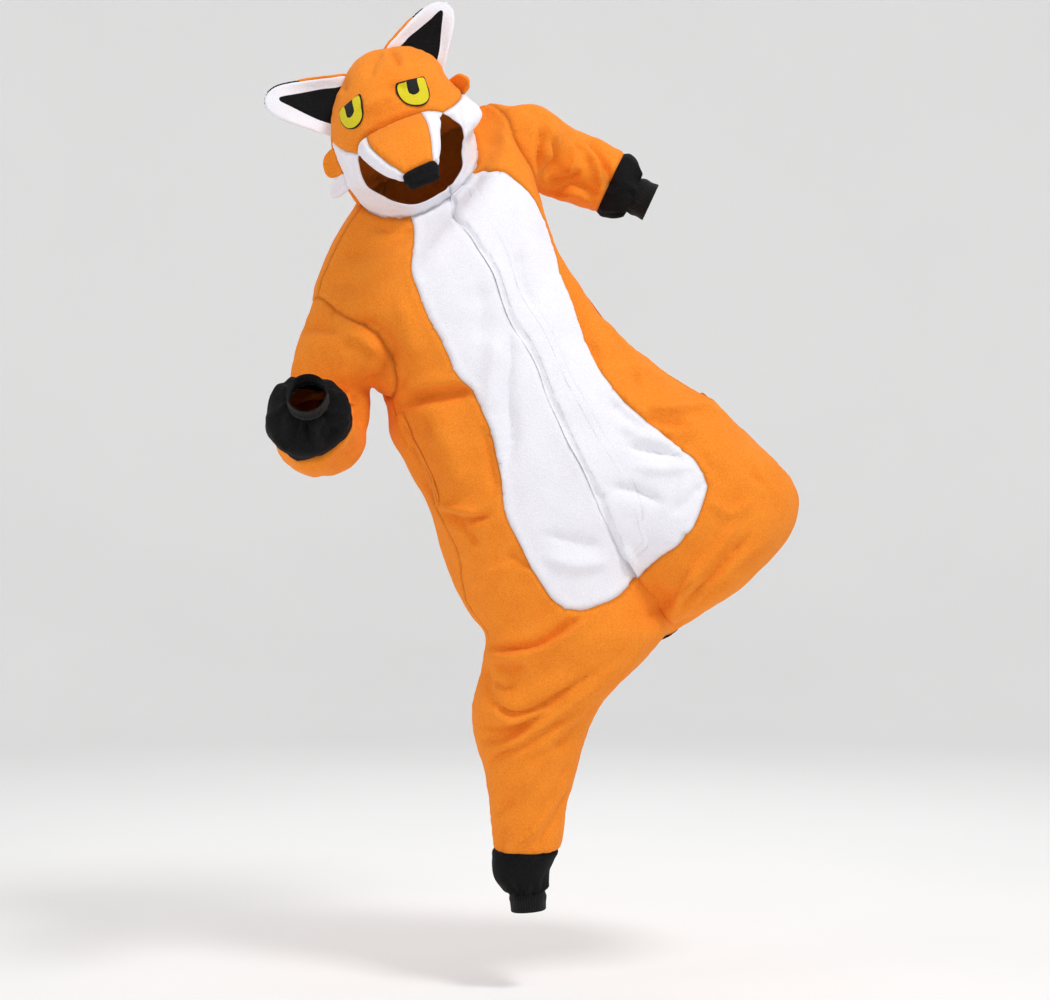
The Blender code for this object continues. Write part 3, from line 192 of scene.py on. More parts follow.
# Folds of the fleece as it hangs on the wearer, in millimetres. For each cloth and the side that
# they show on: half their width, their height (less than 0 for a trough) and the places (x, z)
# that they run through, from the middle of the shoulders.
FOLDS = {
    ("leg", "front"): (
        (9, 11, ((388, -724), (411, -752), (432, -783), (451, -811), (465, -833))),
        (6, 7, ((420, -766), (432, -783), (443, -799))),
        (8, -20, ((124, -856), (155, -867), (191, -863), (231, -851), (272, -825), (308, -806))),
        (8, 12, ((130, -879), (173, -879), (227, -865), (285, -834), (335, -798))),
        (6, -10, ((137, -894), (173, -901), (205, -894))),
        (6, -8, ((137, -921), (162, -932), (187, -928))),
        (7, -18, ((141, -946), (155, -971), (184, -982), (227, -968), (272, -939), (335, -896))),
        (6, 10, ((144, -986), (182, -995), (231, -980), (290, -942))),
        (6, -14, ((119, -1004), (155, -1014), (195, -1004), (245, -971), (299, -928))),
        (8, -10, ((112, -1032), (146, -1027), (182, -1013), (227, -986))),
        (8, 10, ((128, -1050), (177, -1038), (236, -1004), (317, -937), (389, -865))),
        (7, -14, ((130, -1079), (159, -1054), (198, -1034), (256, -996), (317, -946))),
        (10, 8, ((191, -1063), (263, -1009), (353, -928), (434, -829))),
        (9, -8, ((227, -1063), (299, -1000), (380, -914))),
        (9, -12, ((124, -883), (132, -937), (141, -978))),
        (10, -10, ((142, -1171), (164, -1149), (187, -1131))),
        (9, -10, ((164, -1184), (157, -1212), (155, -1238))),
        (8, -14, ((187, -1212), (227, -1166), (263, -1108), (281, -1063))),
        (9, 12, ((166, -1238), (209, -1194), (249, -1140), (274, -1081))),
        (7, -10, ((223, -1220), (254, -1176), (285, -1117))),
        (12, 10, ((191, -1126), (227, -1072), (254, -1027))),
        (8, 10, ((457, -784), (497, -739), (542, -685), (578, -631))),
        (8, -14, ((465, -816), (501, -770), (555, -705), (605, -651))),
        (8, -14, ((497, -806), (537, -762), (587, -716), (632, -687))),
        (9, 10, ((515, -784), (565, -734), (623, -676))),
        (9, -10, ((407, -816), (452, -780), (497, -716))),
        (10, 8, ((515, -604), (560, -626), (601, -604))),
        (9, -10, ((587, -550), (632, -586), (650, -640))),
    ),
    ("belly", "front"): (
        (9, 9, ((367, -683), (388, -713), (406, -745))),
        (11, -16, ((173, -284), (178, -352), (171, -424), (177, -496), (169, -554))),
        (16, 8, ((148, -316), (144, -388), (137, -460))),
        (9, -10, ((346, -428), (380, -460), (429, -496))),
        (9, 10, ((357, -469), (407, -491), (465, -514))),
        (8, -12, ((375, -509), (421, -519), (479, -528))),
        (10, 8, ((389, -546), (443, -550), (497, -546))),
        (9, -12, ((346, -579), (393, -590), (447, -613))),
        (9, -8, ((519, -568), (483, -604), (450, -633))),
        (12, -8, ((227, -662), (290, -680), (339, -685))),
        (12, 8, ((227, -703), (290, -716), (349, -712))),
        (10, -8, ((191, -163), (198, -217), (220, -271))),
        (14, -6, ((119, -226), (126, -280), (119, -334))),
    ),
    ("sleeve_right", "front"): (
        (8, -12, ((-103, -415), (-89, -455), (-78, -492))),
        (8, 10, ((-118, -426), (-104, -471), (-92, -506))),
        (8, -12, ((-145, -517), (-124, -499), (-111, -471))),
        (9, -12, ((-134, -555), (-115, -531), (-99, -513))),
        (9, -10, ((-248, -486), (-227, -517), (-195, -541))),
        (9, 10, ((-209, -526), (-171, -545), (-136, -538))),
        (9, -14, ((-205, -298), (-165, -294), (-124, -309))),
        (10, 12, ((-115, -312), (-83, -325), (-54, -352))),
        (9, -16, ((-39, -338), (-47, -374), (-65, -395), (-97, -402))),
        (8, -12, ((-111, -410), (-124, -431), (-133, -469))),
        (7, 10, ((-124, -415), (-111, -438), (-119, -474))),
        (7, -10, ((-151, -424), (-138, -446), (-144, -474))),
        (6, -10, ((-165, -442), (-173, -469), (-165, -496))),
        (8, -12, ((-133, -446), (-129, -478), (-151, -507))),
        (8, 10, ((-259, -456), (-237, -496), (-196, -523))),
    ),
    ("torso", "front"): (
        (9, -20, ((-21, -431), (29, -422), (74, -419), (119, -411))),
        (12, 10, ((-21, -410), (29, -401), (87, -392))),
        (26, 16, ((33, -446), (69, -523), (94, -604))),
        (10, -12, ((126, -469), (137, -532), (150, -604))),
        (6, -10, ((-18, -438), (-2, -505), (22, -577), (43, -618))),
        (7, -18, ((43, -624), (83, -640), (115, -638), (144, -626))),
        (7, 8, ((47, -611), (87, -624), (119, -624))),
        (6, -12, ((69, -640), (94, -658), (119, -687))),
        (7, 6, ((101, -757), (137, -732), (177, -717))),
        (9, -10, ((169, -698), (191, -708), (209, -726))),
        (9, -14, ((-111, -284), (-61, -303), (-36, -338), (-32, -379))),
        (16, -10, ((-70, -114), (-25, -129), (7, -129))),
        (14, -8, ((-124, -176), (-70, -154), (-7, -147))),
        (16, -8, ((-151, -226), (-115, -217), (-75, -244))),
        (18, 8, ((-18, -244), (-3, -307), (11, -361))),
        (10, -16, ((263, -181), (295, -244), (321, -325), (335, -384))),
        (9, 10, ((335, -266), (375, -334), (418, -410))),
        (8, -12, ((353, -298), (385, -356), (407, -410))),
        (7, 12, ((407, -440), (452, -444), (506, -440), (551, -449))),
        (8, -12, ((407, -456), (447, -467), (497, -467))),
        (12, -10, ((425, -482), (497, -514), (542, -568))),
    ),
    ("sleeve_left", "front"): (
        (7, -18, ((231, 76), (227, 26), (223, -24))),
        (9, 12, ((245, 84), (249, 35), (238, -1))),
        (7, -16, ((243, 53), (256, 12), (231, -24))),
        (10, 12, ((274, 58), (288, 17), (274, -19))),
        (7, -18, ((313, 62), (342, 26), (355, -14), (349, -46))),
        (9, 14, ((295, 48), (328, 8), (339, -32))),
        (7, -12, ((288, 48), (310, 30), (317, -1))),
        (6, -12, ((238, -32), (277, -17), (303, -3))),
        (6, -10, ((252, -42), (292, -30), (335, -46))),
        (7, 10, ((241, -46), (288, -42), (328, -57))),
        (9, -10, ((191, 109), (223, 94), (256, 80))),
    ),
    ("hood", "front"): (
        (8, -12, ((-41, 193), (-27, 170), (-18, 145))),
        (9, -8.8, ((-50, 188), (-65, 159), (-72, 123))),
        (7, -8.8, ((-39, 102), (-21, 109), (-3, 103))),
        (9, 8.8, ((-83, 66), (-52, 82), (-21, 91))),
        (8, -8.8, ((-137, 152), (-122, 130), (-115, 105))),
    ),
    ("cheek", "front"): (
        (7, -8.8, ((-140, 26), (-131, -10), (-111, -46))),
        (7, -8.8, ((87, 94), (101, 62), (97, 26))),
        (7, 8.8, ((60, 80), (83, 48), (87, 8))),
    ),
    ("torso", "back"): (
        (16, -18, ((60, -400), (180, -440), (310, -400))),
        (14, 15, ((50, -430), (180, -475), (320, -435))),
        (15, -16.6, ((80, -500), (210, -545), (350, -500))),
        (14, -15, ((110, -620), (250, -650), (400, -600))),
        (14, 13.4, ((130, -655), (260, -690), (420, -640))),
        (18, -15, ((-30, -160), (20, -260), (40, -360))),
        (18, -13.4, ((200, -140), (200, -240), (250, -330))),
        (14, 13.4, ((20, -90), (100, -130), (180, -80))),
    ),
    ("leg", "back"): (
        (13, -18, ((120, -860), (210, -880), (310, -840))),
        (12, 15, ((120, -890), (210, -915), (300, -875))),
        (12, -15, ((120, -990), (200, -970), (280, -920))),
        (10, -13.4, ((130, -1080), (190, -1060), (250, -1010))),
        (10, 12, ((150, -1200), (200, -1150), (250, -1100))),
        (12, -16.6, ((450, -780), (520, -760), (600, -700))),
        (12, -15, ((380, -860), (450, -820), (520, -790))),
    ),
    ("sleeve_right", "back"): (
        (12, -16.6, ((-180, -400), (-130, -380), (-90, -330))),
        (12, 15, ((-180, -360), (-130, -340), (-100, -290))),
    ),
    ("sleeve_left", "back"): (
        (10, -16.6, ((230, -10), (260, 30), (290, 80))),
        (10, -13.4, ((330, -20), (350, 20), (360, 60))),
    ),
    ("hood", "back"): (
        (12, -12, ((-120, 50), (-40, 30), (40, 60))),
        (11, -12, ((-90, 0), (-20, -20), (50, 20))),
    ),
}
CLOTH_OF_FOLD = {
    "leg": ("front_", "back_"), "torso": ("front_", "back_"), "belly": ("belly_",),
    "sleeve_right": ("sleeve_right", "sleeve_end_right"),
    "sleeve_left": ("sleeve_left", "sleeve_end_left"),
    "hood": ("hood_", "snout_"), "cheek": ("cheek_",),
}


MM = 0.001
CREASE_POWER, RIDGE_POWER = 1.35, 2.0       # a trough is keener than a ridge


def raise_folds():
    """How far each point of the skin moves outward for the folds."""
    move = np.zeros(len(skin))
    spots = skin[:, (0, 2)]
    for (kind, side), folds in FOLDS.items():
        seen = facing[:, 1] * (-1 if side == "front" else 1)
        shown = (seen > 0) & corners_of(*CLOTH_OF_FOLD[kind])
        for half_width, height, places in folds:
            half_width *= MM
            line = curve_through(np.array(places) * MM, 12 * (len(places) - 1) + 1)
            low, high = line.min(0) - 3 * half_width, line.max(0) + 3 * half_width
            near = np.flatnonzero((spots > low).all(1) & (spots < high).all(1) & shown)
            away = np.linalg.norm(spots[near][:, None] - line[None], axis=2)
            along = away.argmin(1) / (len(line) - 1)
            fade = np.clip(np.sin(math.pi * np.clip(along, 0.03, 0.97)) * 1.5, 0, 1)
            wide = half_width * (0.75 + 0.4 * np.sin(math.pi * along))
            power = CREASE_POWER if height < 0 else RIDGE_POWER
            shape = np.exp(-(away.min(1) / wide) ** power) * np.clip(seen[near] * 2.5, 0, 1)
            move[near] += height * MM * fade * shape
    return move


# Slack that no fold was placed for: height and size of the waves, in each cloth.
SLACK = (
    (("front_", "back_"), 0.0028, 0.075),
    (("belly_",), 0.0018, 0.070),
    (("sleeve_",), 0.0048, 0.055),
    (("sleeve_end_",), 0.0055, 0.050),
    (("leg_end_",), 0.0035, 0.050),
    (("hood_", "cheek_"), 0.0009, 0.035),
)


def slack_waves():
    """How far each point of the skin moves outward for the waves of the slack cloth."""
    move = np.zeros(len(skin))
    for names, height, size in SLACK:
        for point in np.flatnonzero(corners_of(*names)):
            place = Vector(skin[point]) / size
            move[point] = height * (noise.noise(place) + 0.45 * noise.noise(place * 2.3))
    return move


SEAM_DEPTH, SEAM_WIDTH = 0.0026, 0.0035     # how far a seam sinks into the fleece
SEAM_SWELL, SWELL_AWAY, SWELL_WIDTH = 0.0012, 0.010, 0.006      # the fleece swells beside it
PUCKER, PUCKER_SIZE, PUCKER_REACH = 0.0012, 0.011, 0.016        # its stitches draw puckers
FLAP_STEP, STEP_AWAY, STEP_WIDTH = 0.0045, 0.005, 0.006         # the belly dips beside the flap
PAINTED_SEAM_SHADE_WIDTH, PAINTED_FLAP_SHADOW_WIDTH = 0.0026, 0.0035     # how wide the painted shade along each seam and the painted shadow beside the flap's edge are


def sunk_seams():
    """How far each point of the skin moves outward for the seams beside it, and the painted shade
    that darkens it along the seams and beside the flap's edge.
    """
    lowest, highest = np.full(len(skin), len(SEWN)), np.full(len(skin), -1)
    for corner in range(4):
        np.minimum.at(lowest, quads[:, corner], piece_of)
        np.maximum.at(highest, quads[:, corner], piece_of)
    sewn = np.flatnonzero(lowest < highest)
    away = nearest(skin[sewn], skin)[1]
    move = SEAM_SWELL * np.exp(-((away - SWELL_AWAY) / SWELL_WIDTH) ** 2)
    move -= SEAM_DEPTH * np.exp(-(away / SEAM_WIDTH) ** 2)
    for point in np.flatnonzero(away < 2.5 * PUCKER_REACH):
        pucker = noise.noise(Vector(skin[point]) / PUCKER_SIZE)
        move[point] += PUCKER * pucker * math.exp(-(away[point] / PUCKER_REACH) ** 2)
    # Painted shade along each seam, darkest on it, where the shadow of its groove falls.
    shade = np.exp(-(away / PAINTED_SEAM_SHADE_WIDTH) ** 2)
    beside = np.flatnonzero(corners_of("belly_right"))
    centre = skin[corners_of("belly_right") & corners_of("belly_left")]
    away = nearest(centre, skin[beside])[1]
    move[beside] -= FLAP_STEP * np.exp(-((away - STEP_AWAY) / STEP_WIDTH) ** 2)
    # A painted shadow on the belly beside the flap's edge, where the flap's shadow falls.
    line = 0.9 * np.exp(-((away - 0.003) / PAINTED_FLAP_SHADOW_WIDTH) ** 2)
    shade[beside] = np.maximum(shade[beside], line)
    return move, shade


# Gathers where fleece is drawn in to a narrower cuff: the two pieces, how many gathers there
# are, their height, and how far they run from the seam.
GATHERS = (
    ("leg_end_right", "ankle_cuff_right", 12, 0.0042, 0.030),
    ("leg_end_left", "ankle_cuff_left", 12, 0.0042, 0.030),
    ("sleeve_end_right", "wrist_cuff_right", 11, 0.0060, 0.040),
    ("sleeve_end_left", "wrist_cuff_left", 11, 0.0050, 0.034),
)


def gathers():
    """How far each point of the skin moves outward for the gathers above the cuffs."""
    move = np.zeros(len(skin))
    for cloth, cuff, count, height, length in GATHERS:
        seam = skin[corners_of(cloth) & corners_of(cuff)]
        centre = seam.mean(0)
        axes = np.linalg.svd(seam - centre)[2]
        near = np.flatnonzero(corners_of(cloth))
        away = nearest(seam, skin[near])[1]
        flat = (skin[near] - centre) @ axes[:2].T
        angle = np.arctan2(flat[:, 1], flat[:, 0])
        turn = count * angle + 1.3 * np.sin(2 * angle + 0.7) + 0.9 * np.sin(5 * angle)
        uneven = 0.75 + 0.35 * np.sin(3 * angle + 1.1)
        start = 0.35 + np.clip(away / 0.008, 0, 1) * 0.65
        move[near] += height * uneven * start * np.sin(turn) * np.exp(-(away / length) ** 2)
    return move


HEM_WIDTH, HEM_SWELL = 0.011, 0.0011        # of the hem turned in round the face
HEM_GROOVE = 0.0008         # how far its row of stitches sinks


def face_hem():
    """How far each point of the skin moves outward for the hem round the face."""
    edges = np.sort(np.concatenate([quads[:, (side, (side + 1) % 4)] for side in range(4)]), axis=1)
    edges, uses = np.unique(edges, axis=0, return_counts=True)
    open_edge = np.zeros(len(skin), bool)
    open_edge[edges[uses == 1]] = True
    round_face = skin[open_edge & corners_of("cheek_", "snout_", "hood_")]
    near = np.flatnonzero(corners_of("cheek_", "snout_side_", "hood_"))
    away = nearest(round_face, skin[near])[1]
    move = np.zeros(len(skin))
    move[near] = HEM_SWELL * np.clip((HEM_WIDTH - away) / 0.003, 0, 1)
    move[near] -= HEM_GROOVE * np.exp(-((away - HEM_WIDTH - 0.001) / 0.0025) ** 2)
    return move


seam_move, seam_painted_shade = sunk_seams()
outward = raise_folds() + slack_waves() + gathers() + seam_move + face_hem()
skin = skin + facing * outward[:, None]
facing = normals_of(skin, quads)
shift = skin - sewn_at
sewn_tree = kdtree.KDTree(len(sewn_at))
for number, place in enumerate(sewn_at):
    sewn_tree.insert(place, number)
sewn_tree.balance()


def follow(places):
    """Where points on or near the skin go when its folds are made."""
    moved = []
    for place in places:
        found = sewn_tree.find_n(place, 4)
        weights = np.array([1 / (one[2] + 0.0005) for one in found])
        near = shift[[one[1] for one in found]]
        moved.append(np.array(place) + (near * weights[:, None]).sum(0) / weights.sum())
    return np.array(moved)


def add_piece(name, places, faces, nodes, material):
    """A finished piece that stands for its frame nodes."""
    mesh = bpy.data.meshes.new(name)
    mesh.from_pydata([tuple(place) for place in places], [], [tuple(face) for face in faces])
    mesh.update()
    piece = bpy.data.objects.new(name, mesh)
    bpy.context.scene.collection.objects.link(piece)
    mesh.shade_smooth()
    mesh.materials.append(material)
    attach(piece, "root")
    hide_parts(*nodes)
    return piece


def cut_out(*names):
    """Points, outward directions, quads and painted seam shade of some pieces of the skin."""
    chosen = np.isin(piece_of, [SEWN.index(name) for name in names])
    used, faces = np.unique(quads[chosen], return_inverse=True)
    return skin[used], facing[used], faces.reshape(-1, 4), seam_painted_shade[used]


def keep_painted_shade(piece, shade):
    """Keep on a piece its painted shade, darkest on a seam and beside the flap's edge, for the
    fleece to darken there.
    """
    piece.data.attributes.new("seam", "FLOAT", "POINT").data.foreach_set("value", shade)


def single_cloth(name, material):
    """A piece of the skin as one sheet, for where its inside never shows."""
    places, _, faces, shade = cut_out(name)
    piece = add_piece(name + "_cloth", places, faces, (name,), material)
    keep_painted_shade(piece, shade)
    return piece


def double_cloth(name, material, wall, roll=0.0007):
    """A piece of the skin with its inner face, its edges rolled a little outward."""
    places, outward, faces, shade = cut_out(name)
    edges = np.concatenate([faces[:, (side, (side + 1) % 4)] for side in range(4)])
    _, first, uses = np.unique(np.sort(edges, axis=1), axis=0, return_index=True, return_counts=True)
    rim = edges[first[uses == 1]]
    count, on_rim = len(places), np.unique(rim)
    inside = places - outward * wall
    run = np.zeros_like(places)
    along = unit(places[rim[:, 1]] - places[rim[:, 0]])
    for end in range(2):
        np.add.at(run, rim[:, end], np.cross(along, outward[rim[:, end]]))
    middle = (places + inside) / 2 + unit(run) * roll
    number = np.full(count, -1)
    number[on_rim] = 2 * count + np.arange(len(on_rim))
    strips = [(b, a, number[a], number[b]) for a, b in rim]
    strips += [(number[b], number[a], a + count, b + count) for a, b in rim]
    shell = np.vstack((places, inside, middle[on_rim]))
    all_faces = [*faces.tolist(), *(faces[:, ::-1] + count).tolist(), *strips]
    piece = add_piece(name + "_cloth", shell, all_faces, (name,), material)
    keep_painted_shade(piece, np.concatenate((shade, shade * 0, shade[on_rim])))
    return piece


# ---------------------------------------------------------------- white belly
# Two halves of white polar fleece, sewn into the orange fronts along a curved seam. Nothing
# shows of their inside. The nap is short and clumped into small soft pills.
class Value:
    """An output in a material that +, - and * work on, on either side of it."""

    def __init__(self, tree, socket):
        self.tree, self.socket = tree, socket

    def node(self, kind, settings=(), inputs=(), out=0):
        """One output of a new node, once its settings and then its inputs are set."""
        made = self.tree.nodes.new("ShaderNode" + kind)
        for name, value in dict(settings).items():
            setattr(made, name, value)
        for name, value in dict(inputs).items():
            if isinstance(value, Value):
                self.tree.links.new(value.socket, made.inputs[name])
            else:
                made.inputs[name].default_value = value
        return Value(self.tree, made.outputs[out])

    def maths(self, operation, first, second=0.0):
        """The result of a Math node."""
        return self.node("Math", {"operation": operation}, {0: first, 1: second})

    def __add__(self, other):
        return self.maths("ADD", self, other)

    __radd__ = __add__

    def __sub__(self, other):
        return self.maths("SUBTRACT", self, other)

    def __rsub__(self, other):
        return self.maths("SUBTRACT", other, self)

    def __mul__(self, other):
        return self.maths("MULTIPLY", self, other)

    __rmul__ = __mul__

    def wave(self):
        """The sine of this."""
        return self.maths("SINE", self)

    def stepped(self, low, high):
        """0 below low, 1 above high, and a smooth rise between."""
        return self.node("MapRange", {"interpolation_type": "SMOOTHSTEP"},
                         {"Value": self, "From Min": low, "From Max": high})

    def mixed(self, low, high):
        """A colour from low, where this is 0, to high, where it is 1."""
        return self.node("Mix", {"data_type": "RGBA"}, {0: self, 6: low, 7: high}, out=2)

    def part(self, axis):
        """The x, y or z of a place, by its number."""
        return self.node("SeparateXYZ", {}, {0: self}, out=axis)

    def noise(self, size, detail=2.0, roughness=0.5):
        """Cloudy grain, from 0 to 1, whose lumps are about this size in metres."""
        return self.node("TexNoise", {}, {"Vector": self, "Scale": 1 / size, "Detail": detail,
                                          "Roughness": roughness})


def new_material(name, **numbers):
    """A material, its shader, and the place on the object that its nodes start from."""
    material = bpy.data.materials.new(name)
    material.use_nodes = True
    tree = material.node_tree
    shader = tree.nodes["Principled BSDF"]
    for socket, number in numbers.items():
        shader.inputs[socket.replace("_", " ")].default_value = number
    return material, shader, Value(tree, tree.nodes.new("ShaderNodeTexCoord").outputs["Object"])


def finish_shader(shader, place, colour, height, distance, strength=0.7):
    """Give a shader its colour and a bump of this height times the distance in metres."""
    bump = place.node("Bump", {}, {"Strength": strength, "Distance": distance, "Height": height})
    place.tree.links.new(colour.socket, shader.inputs["Base Color"])
    place.tree.links.new(bump.socket, shader.inputs["Normal"])


def rgb(red, green, blue):
    """A colour as a screen shows it (0 to 255) in the units that light adds up in."""
    return [(((part / 255) + 0.055) / 1.055) ** 2.4 for part in (red, green, blue)] + [1.0]


PILL = 0.0024               # size of the clumps of the nap
NAP_DEPTH = 0.0010
PAINTED_SHADE_DARKNESS = 0.32        # how much the painted shade darkens the fleece on a seam and beside the flap's edge


def fleece(name, deep, light, sheen, sheen_colour, contrast=1.0):
    """Short-napped polar fleece, from a deep colour between its clumps to a light one on them,
    darkened by the painted shade that a piece keeps along its seams.
    """
    material, shader, place = new_material(name, Roughness=0.95, Sheen_Weight=sheen,
                                           Sheen_Roughness=0.5, Sheen_Tint=sheen_colour,
                                           Specular_IOR_Level=0.15)
    clumps = place.noise(PILL, 3.0, 0.6)
    pills = place.node("TexVoronoi", {"feature": "SMOOTH_F1"},
                       {"Vector": place, "Scale": 1.2 / PILL, "Smoothness": 0.7})
    worn = place.noise(0.045)
    nap = clumps * 1.3 - pills * 0.5
    # The seam attribute holds painted shade: darker on the seams and beside the flap's edge, where
    # their shadows fall.
    seam = place.node("Attribute", {"attribute_name": "seam"}, {}, out=2)
    colour = ((nap - 0.4) * contrast + 0.3 * worn + 0.4).stepped(0.15, 0.95).mixed(deep, light)
    colour = (seam * PAINTED_SHADE_DARKNESS).mixed(colour, rgb(0, 0, 0))
    finish_shader(shader, place, colour, nap, NAP_DEPTH)
    return material


white_fleece = fleece("white_fleece", rgb(236, 235, 244), rgb(250, 249, 254), 0.1,
                      rgb(255, 255, 255), 0.8)
# Columns: piece, cut's width and length, its area.
for name, width, length, area in (("belly_right", 0.29, 1.02, 0.105),
                                  ("belly_left", 0.34, 1.02, 0.119)):
    piece = single_cloth(name, white_fleece)

# ---------------------------------------------------------------- front flap
# A strip of the white fleece that closes over the buttons down the centre front. Its two edges
# are turned in and stitched, and the short dense row of stitches that holds its lower end is not
# made here.
THREAD = 0.0005             # half the thickness of the sewing thread
STITCH_LENGTH, STITCH_PITCH = 0.0032, 0.0044
TWIST = 9000.0              # how fast its strands turn, in radians for each metre
THREAD_SIDES = 6
FLAT_WALL = 0.0015          # of the flap and the pocket hems
FLAP_INSET = 0.0055         # from the flap's edge to its stitches


def laid_piece(name, levels, material, push=None):
    """A whole frame piece made finer, which has followed the folds of the skin."""
    places, faces, _ = smoothed(merged(name), levels)
    places = follow(places)
    if push:
        places = push(places, normals_of(places, faces))
    return add_piece(name + "_cloth", places, faces, (name,), material)


def outer_border(name, inset):
    """Points round the outer face of a frame piece, this far in from its edge, and outward."""
    cloth = merged(name)
    cloth.normal_update()
    strip = {face for edge in cloth.edges
             if abs(edge.calc_length() - FLAT_WALL) < 0.00002 for face in edge.link_faces}
    bmesh.ops.delete(cloth, geom=list(strip), context="FACES")
    links = {vert: [] for vert in cloth.verts
             if any(face.normal.y < 0 for face in vert.link_faces)}
    for edge in cloth.edges:
        if len(edge.link_faces) == 1 and edge.verts[0] in links:
            links[edge.verts[0]].append(edge.verts[1])
            links[edge.verts[1]].append(edge.verts[0])
    start = next(vert for vert in links if links[vert])
    ring, last = [start], None
    while True:
        ahead = [vert for vert in links[ring[-1]] if vert is not last]
        if not ahead or ahead[0] is start:
            break
        last = ring[-1]
        ring.append(ahead[0])
    line = np.array([vert.co[:] for vert in ring])
    outward = np.array([vert.normal[:] for vert in ring])
    middle = line.mean(0)
    along = unit(np.roll(line, -1, 0) - np.roll(line, 1, 0))
    inward = np.cross(outward, along)
    if ((middle - line) * inward).sum() < 0:
        inward = -inward
    cloth.free()
    return line + inward * inset, outward


def stitches(line, outward, pitch=STITCH_PITCH, length=STITCH_LENGTH):
    """Points and faces of a row of stitches along a line on the cloth."""
    steps = np.r_[0, np.cumsum(np.linalg.norm(np.diff(line, axis=0), axis=1))]
    count = int(steps[-1] / pitch)
    ends = (np.arange(count)[:, None] + 0.5) * pitch + np.array((-0.5, 0.0, 0.5)) * length
    spots = np.stack([np.interp(ends, steps, line[:, axis]) for axis in range(3)], axis=-1)
    up = unit(np.stack([np.interp(ends, steps, outward[:, axis]) for axis in range(3)], axis=-1))
    along = unit(spots[:, 2] - spots[:, 0])[:, None]
    across = np.cross(up, along)
    lift = np.array((-0.5, 0.7, -0.5))[None, :, None] * THREAD
    turn = np.arange(THREAD_SIDES) * (2 * math.pi / THREAD_SIDES)
    ring = (np.cos(turn)[:, None] * across[:, :, None] + np.sin(turn)[:, None] * up[:, :, None])
    points = (spots + up * lift)[:, :, None] + ring * THREAD
    faces = []
    for stitch in range(count):
        rings = [[(stitch * 3 + part) * THREAD_SIDES + k for k in range(THREAD_SIDES)]
                 for part in range(3)]
        for near, far in zip(rings, rings[1:]):
            faces += [(near[k - 1], near[k], far[k], far[k - 1]) for k in range(THREAD_SIDES)]
        faces += [tuple(rings[0][::-1]), tuple(rings[2])]
    return points.reshape(-1, 3), faces


def thread_material(name, colour):
    """Spun sewing thread, with the twist of its strands."""
    material, shader, place = new_material(name, Roughness=0.55, Sheen_Weight=0.2)
    twist = (place.part(2) * TWIST).wave()
    shade = (twist * 0.25 + 0.5 * place.noise(0.0008) + 0.4).stepped(0.0, 1.0)
    dark = [part * 0.7 for part in colour[:3]] + [1.0]
    finish_shader(shader, place, shade.mixed(dark, colour), twist, 0.0001)
    return material


def sewn_rows(name, rows, material):
    """One piece of several rows of stitches on a piece of cloth."""
    places, faces = [], []
    for line, outward, *spacing in rows:
        line = follow(line)
        made, made_faces = stitches(line, outward, *spacing)
        faces += [tuple(k + sum(map(len, places)) for k in face) for face in made_faces]
        places.append(made)
    mesh = bpy.data.meshes.new(name)
    mesh.from_pydata([tuple(place) for place in np.vstack(places)], [], faces)
    mesh.shade_smooth()
    mesh.materials.append(material)
    piece = bpy.data.objects.new(name, mesh)
    bpy.context.scene.collection.objects.link(piece)
    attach(piece, "root")
    return piece


white_thread = thread_material("white_thread", rgb(238, 237, 243))
flap = laid_piece("placket", 3, white_fleece)
line, outward = outer_border("placket", FLAP_INSET)
flap_rows = [(np.vstack((line, line[:1])), np.vstack((outward, outward[:1])))]
flap_seams = sewn_rows("placket_stitches", flap_rows, white_thread)

# ---------------------------------------------------------------- orange fronts and backs
# A front and a back on each side, from the shoulder to the black end of the leg, sewn at the
# side, the crotch and the inside of the leg. The fleece is the same, dyed orange.
orange_fleece = fleece("orange_fleece", rgb(238, 126, 30), rgb(255, 154, 52), 0.15,
                       rgb(255, 196, 120), 0.9)
# Columns: piece, cut's width and length, its area.
for name, width, length, area in (("front_right", 0.42, 1.45, 0.29),
                                  ("front_left", 0.42, 1.45, 0.29),
                                  ("back_right", 0.50, 1.50, 0.43),
                                  ("back_left", 0.50, 1.50, 0.43)):
    piece = single_cloth(name, orange_fleece)

# ---------------------------------------------------------------- side pockets
# A slit in each side seam, with a narrow stitched hem on its front edge. Short dense rows of
# orange stitches hold its two ends.
POCKET_INSET = 0.003        # from the hem's edge to its stitches
BAR = 0.012                 # length of the row that holds each end
BAR_STITCH, BAR_PITCH = 0.0011, 0.0012
orange_thread = thread_material("orange_thread", rgb(235, 130, 40))
for side in ("right", "left"):
    name = "pocket_hem_" + side
    hem = laid_piece(name, 3, orange_fleece)
    line, outward = outer_border(name, POCKET_INSET)
    ring = (np.vstack((line, line[:1])), np.vstack((outward, outward[:1])))
    high, low = line[:, 2].argmax(), line[:, 2].argmin()
    bars = []
    for end in (high, low):
        across = np.cross(outward[end], unit(line[high] - line[low]))
        bar = line[end] + np.linspace(-BAR / 2, BAR / 2, 5)[:, None] * across
        bars.append((bar, np.repeat(outward[end:end + 1], 5, 0), BAR_PITCH, BAR_STITCH))
    seams = sewn_rows(name + "_stitches", [ring, *bars], orange_thread)

# ---------------------------------------------------------------- sleeves
# One piece of orange fleece each, sewn into a tube under the arm and set into a low armhole.
for name, width, length, area in (("sleeve_right", 0.50, 0.40, 0.150),
                                  ("sleeve_left", 0.44, 0.32, 0.105)):
    piece = single_cloth(name, orange_fleece)

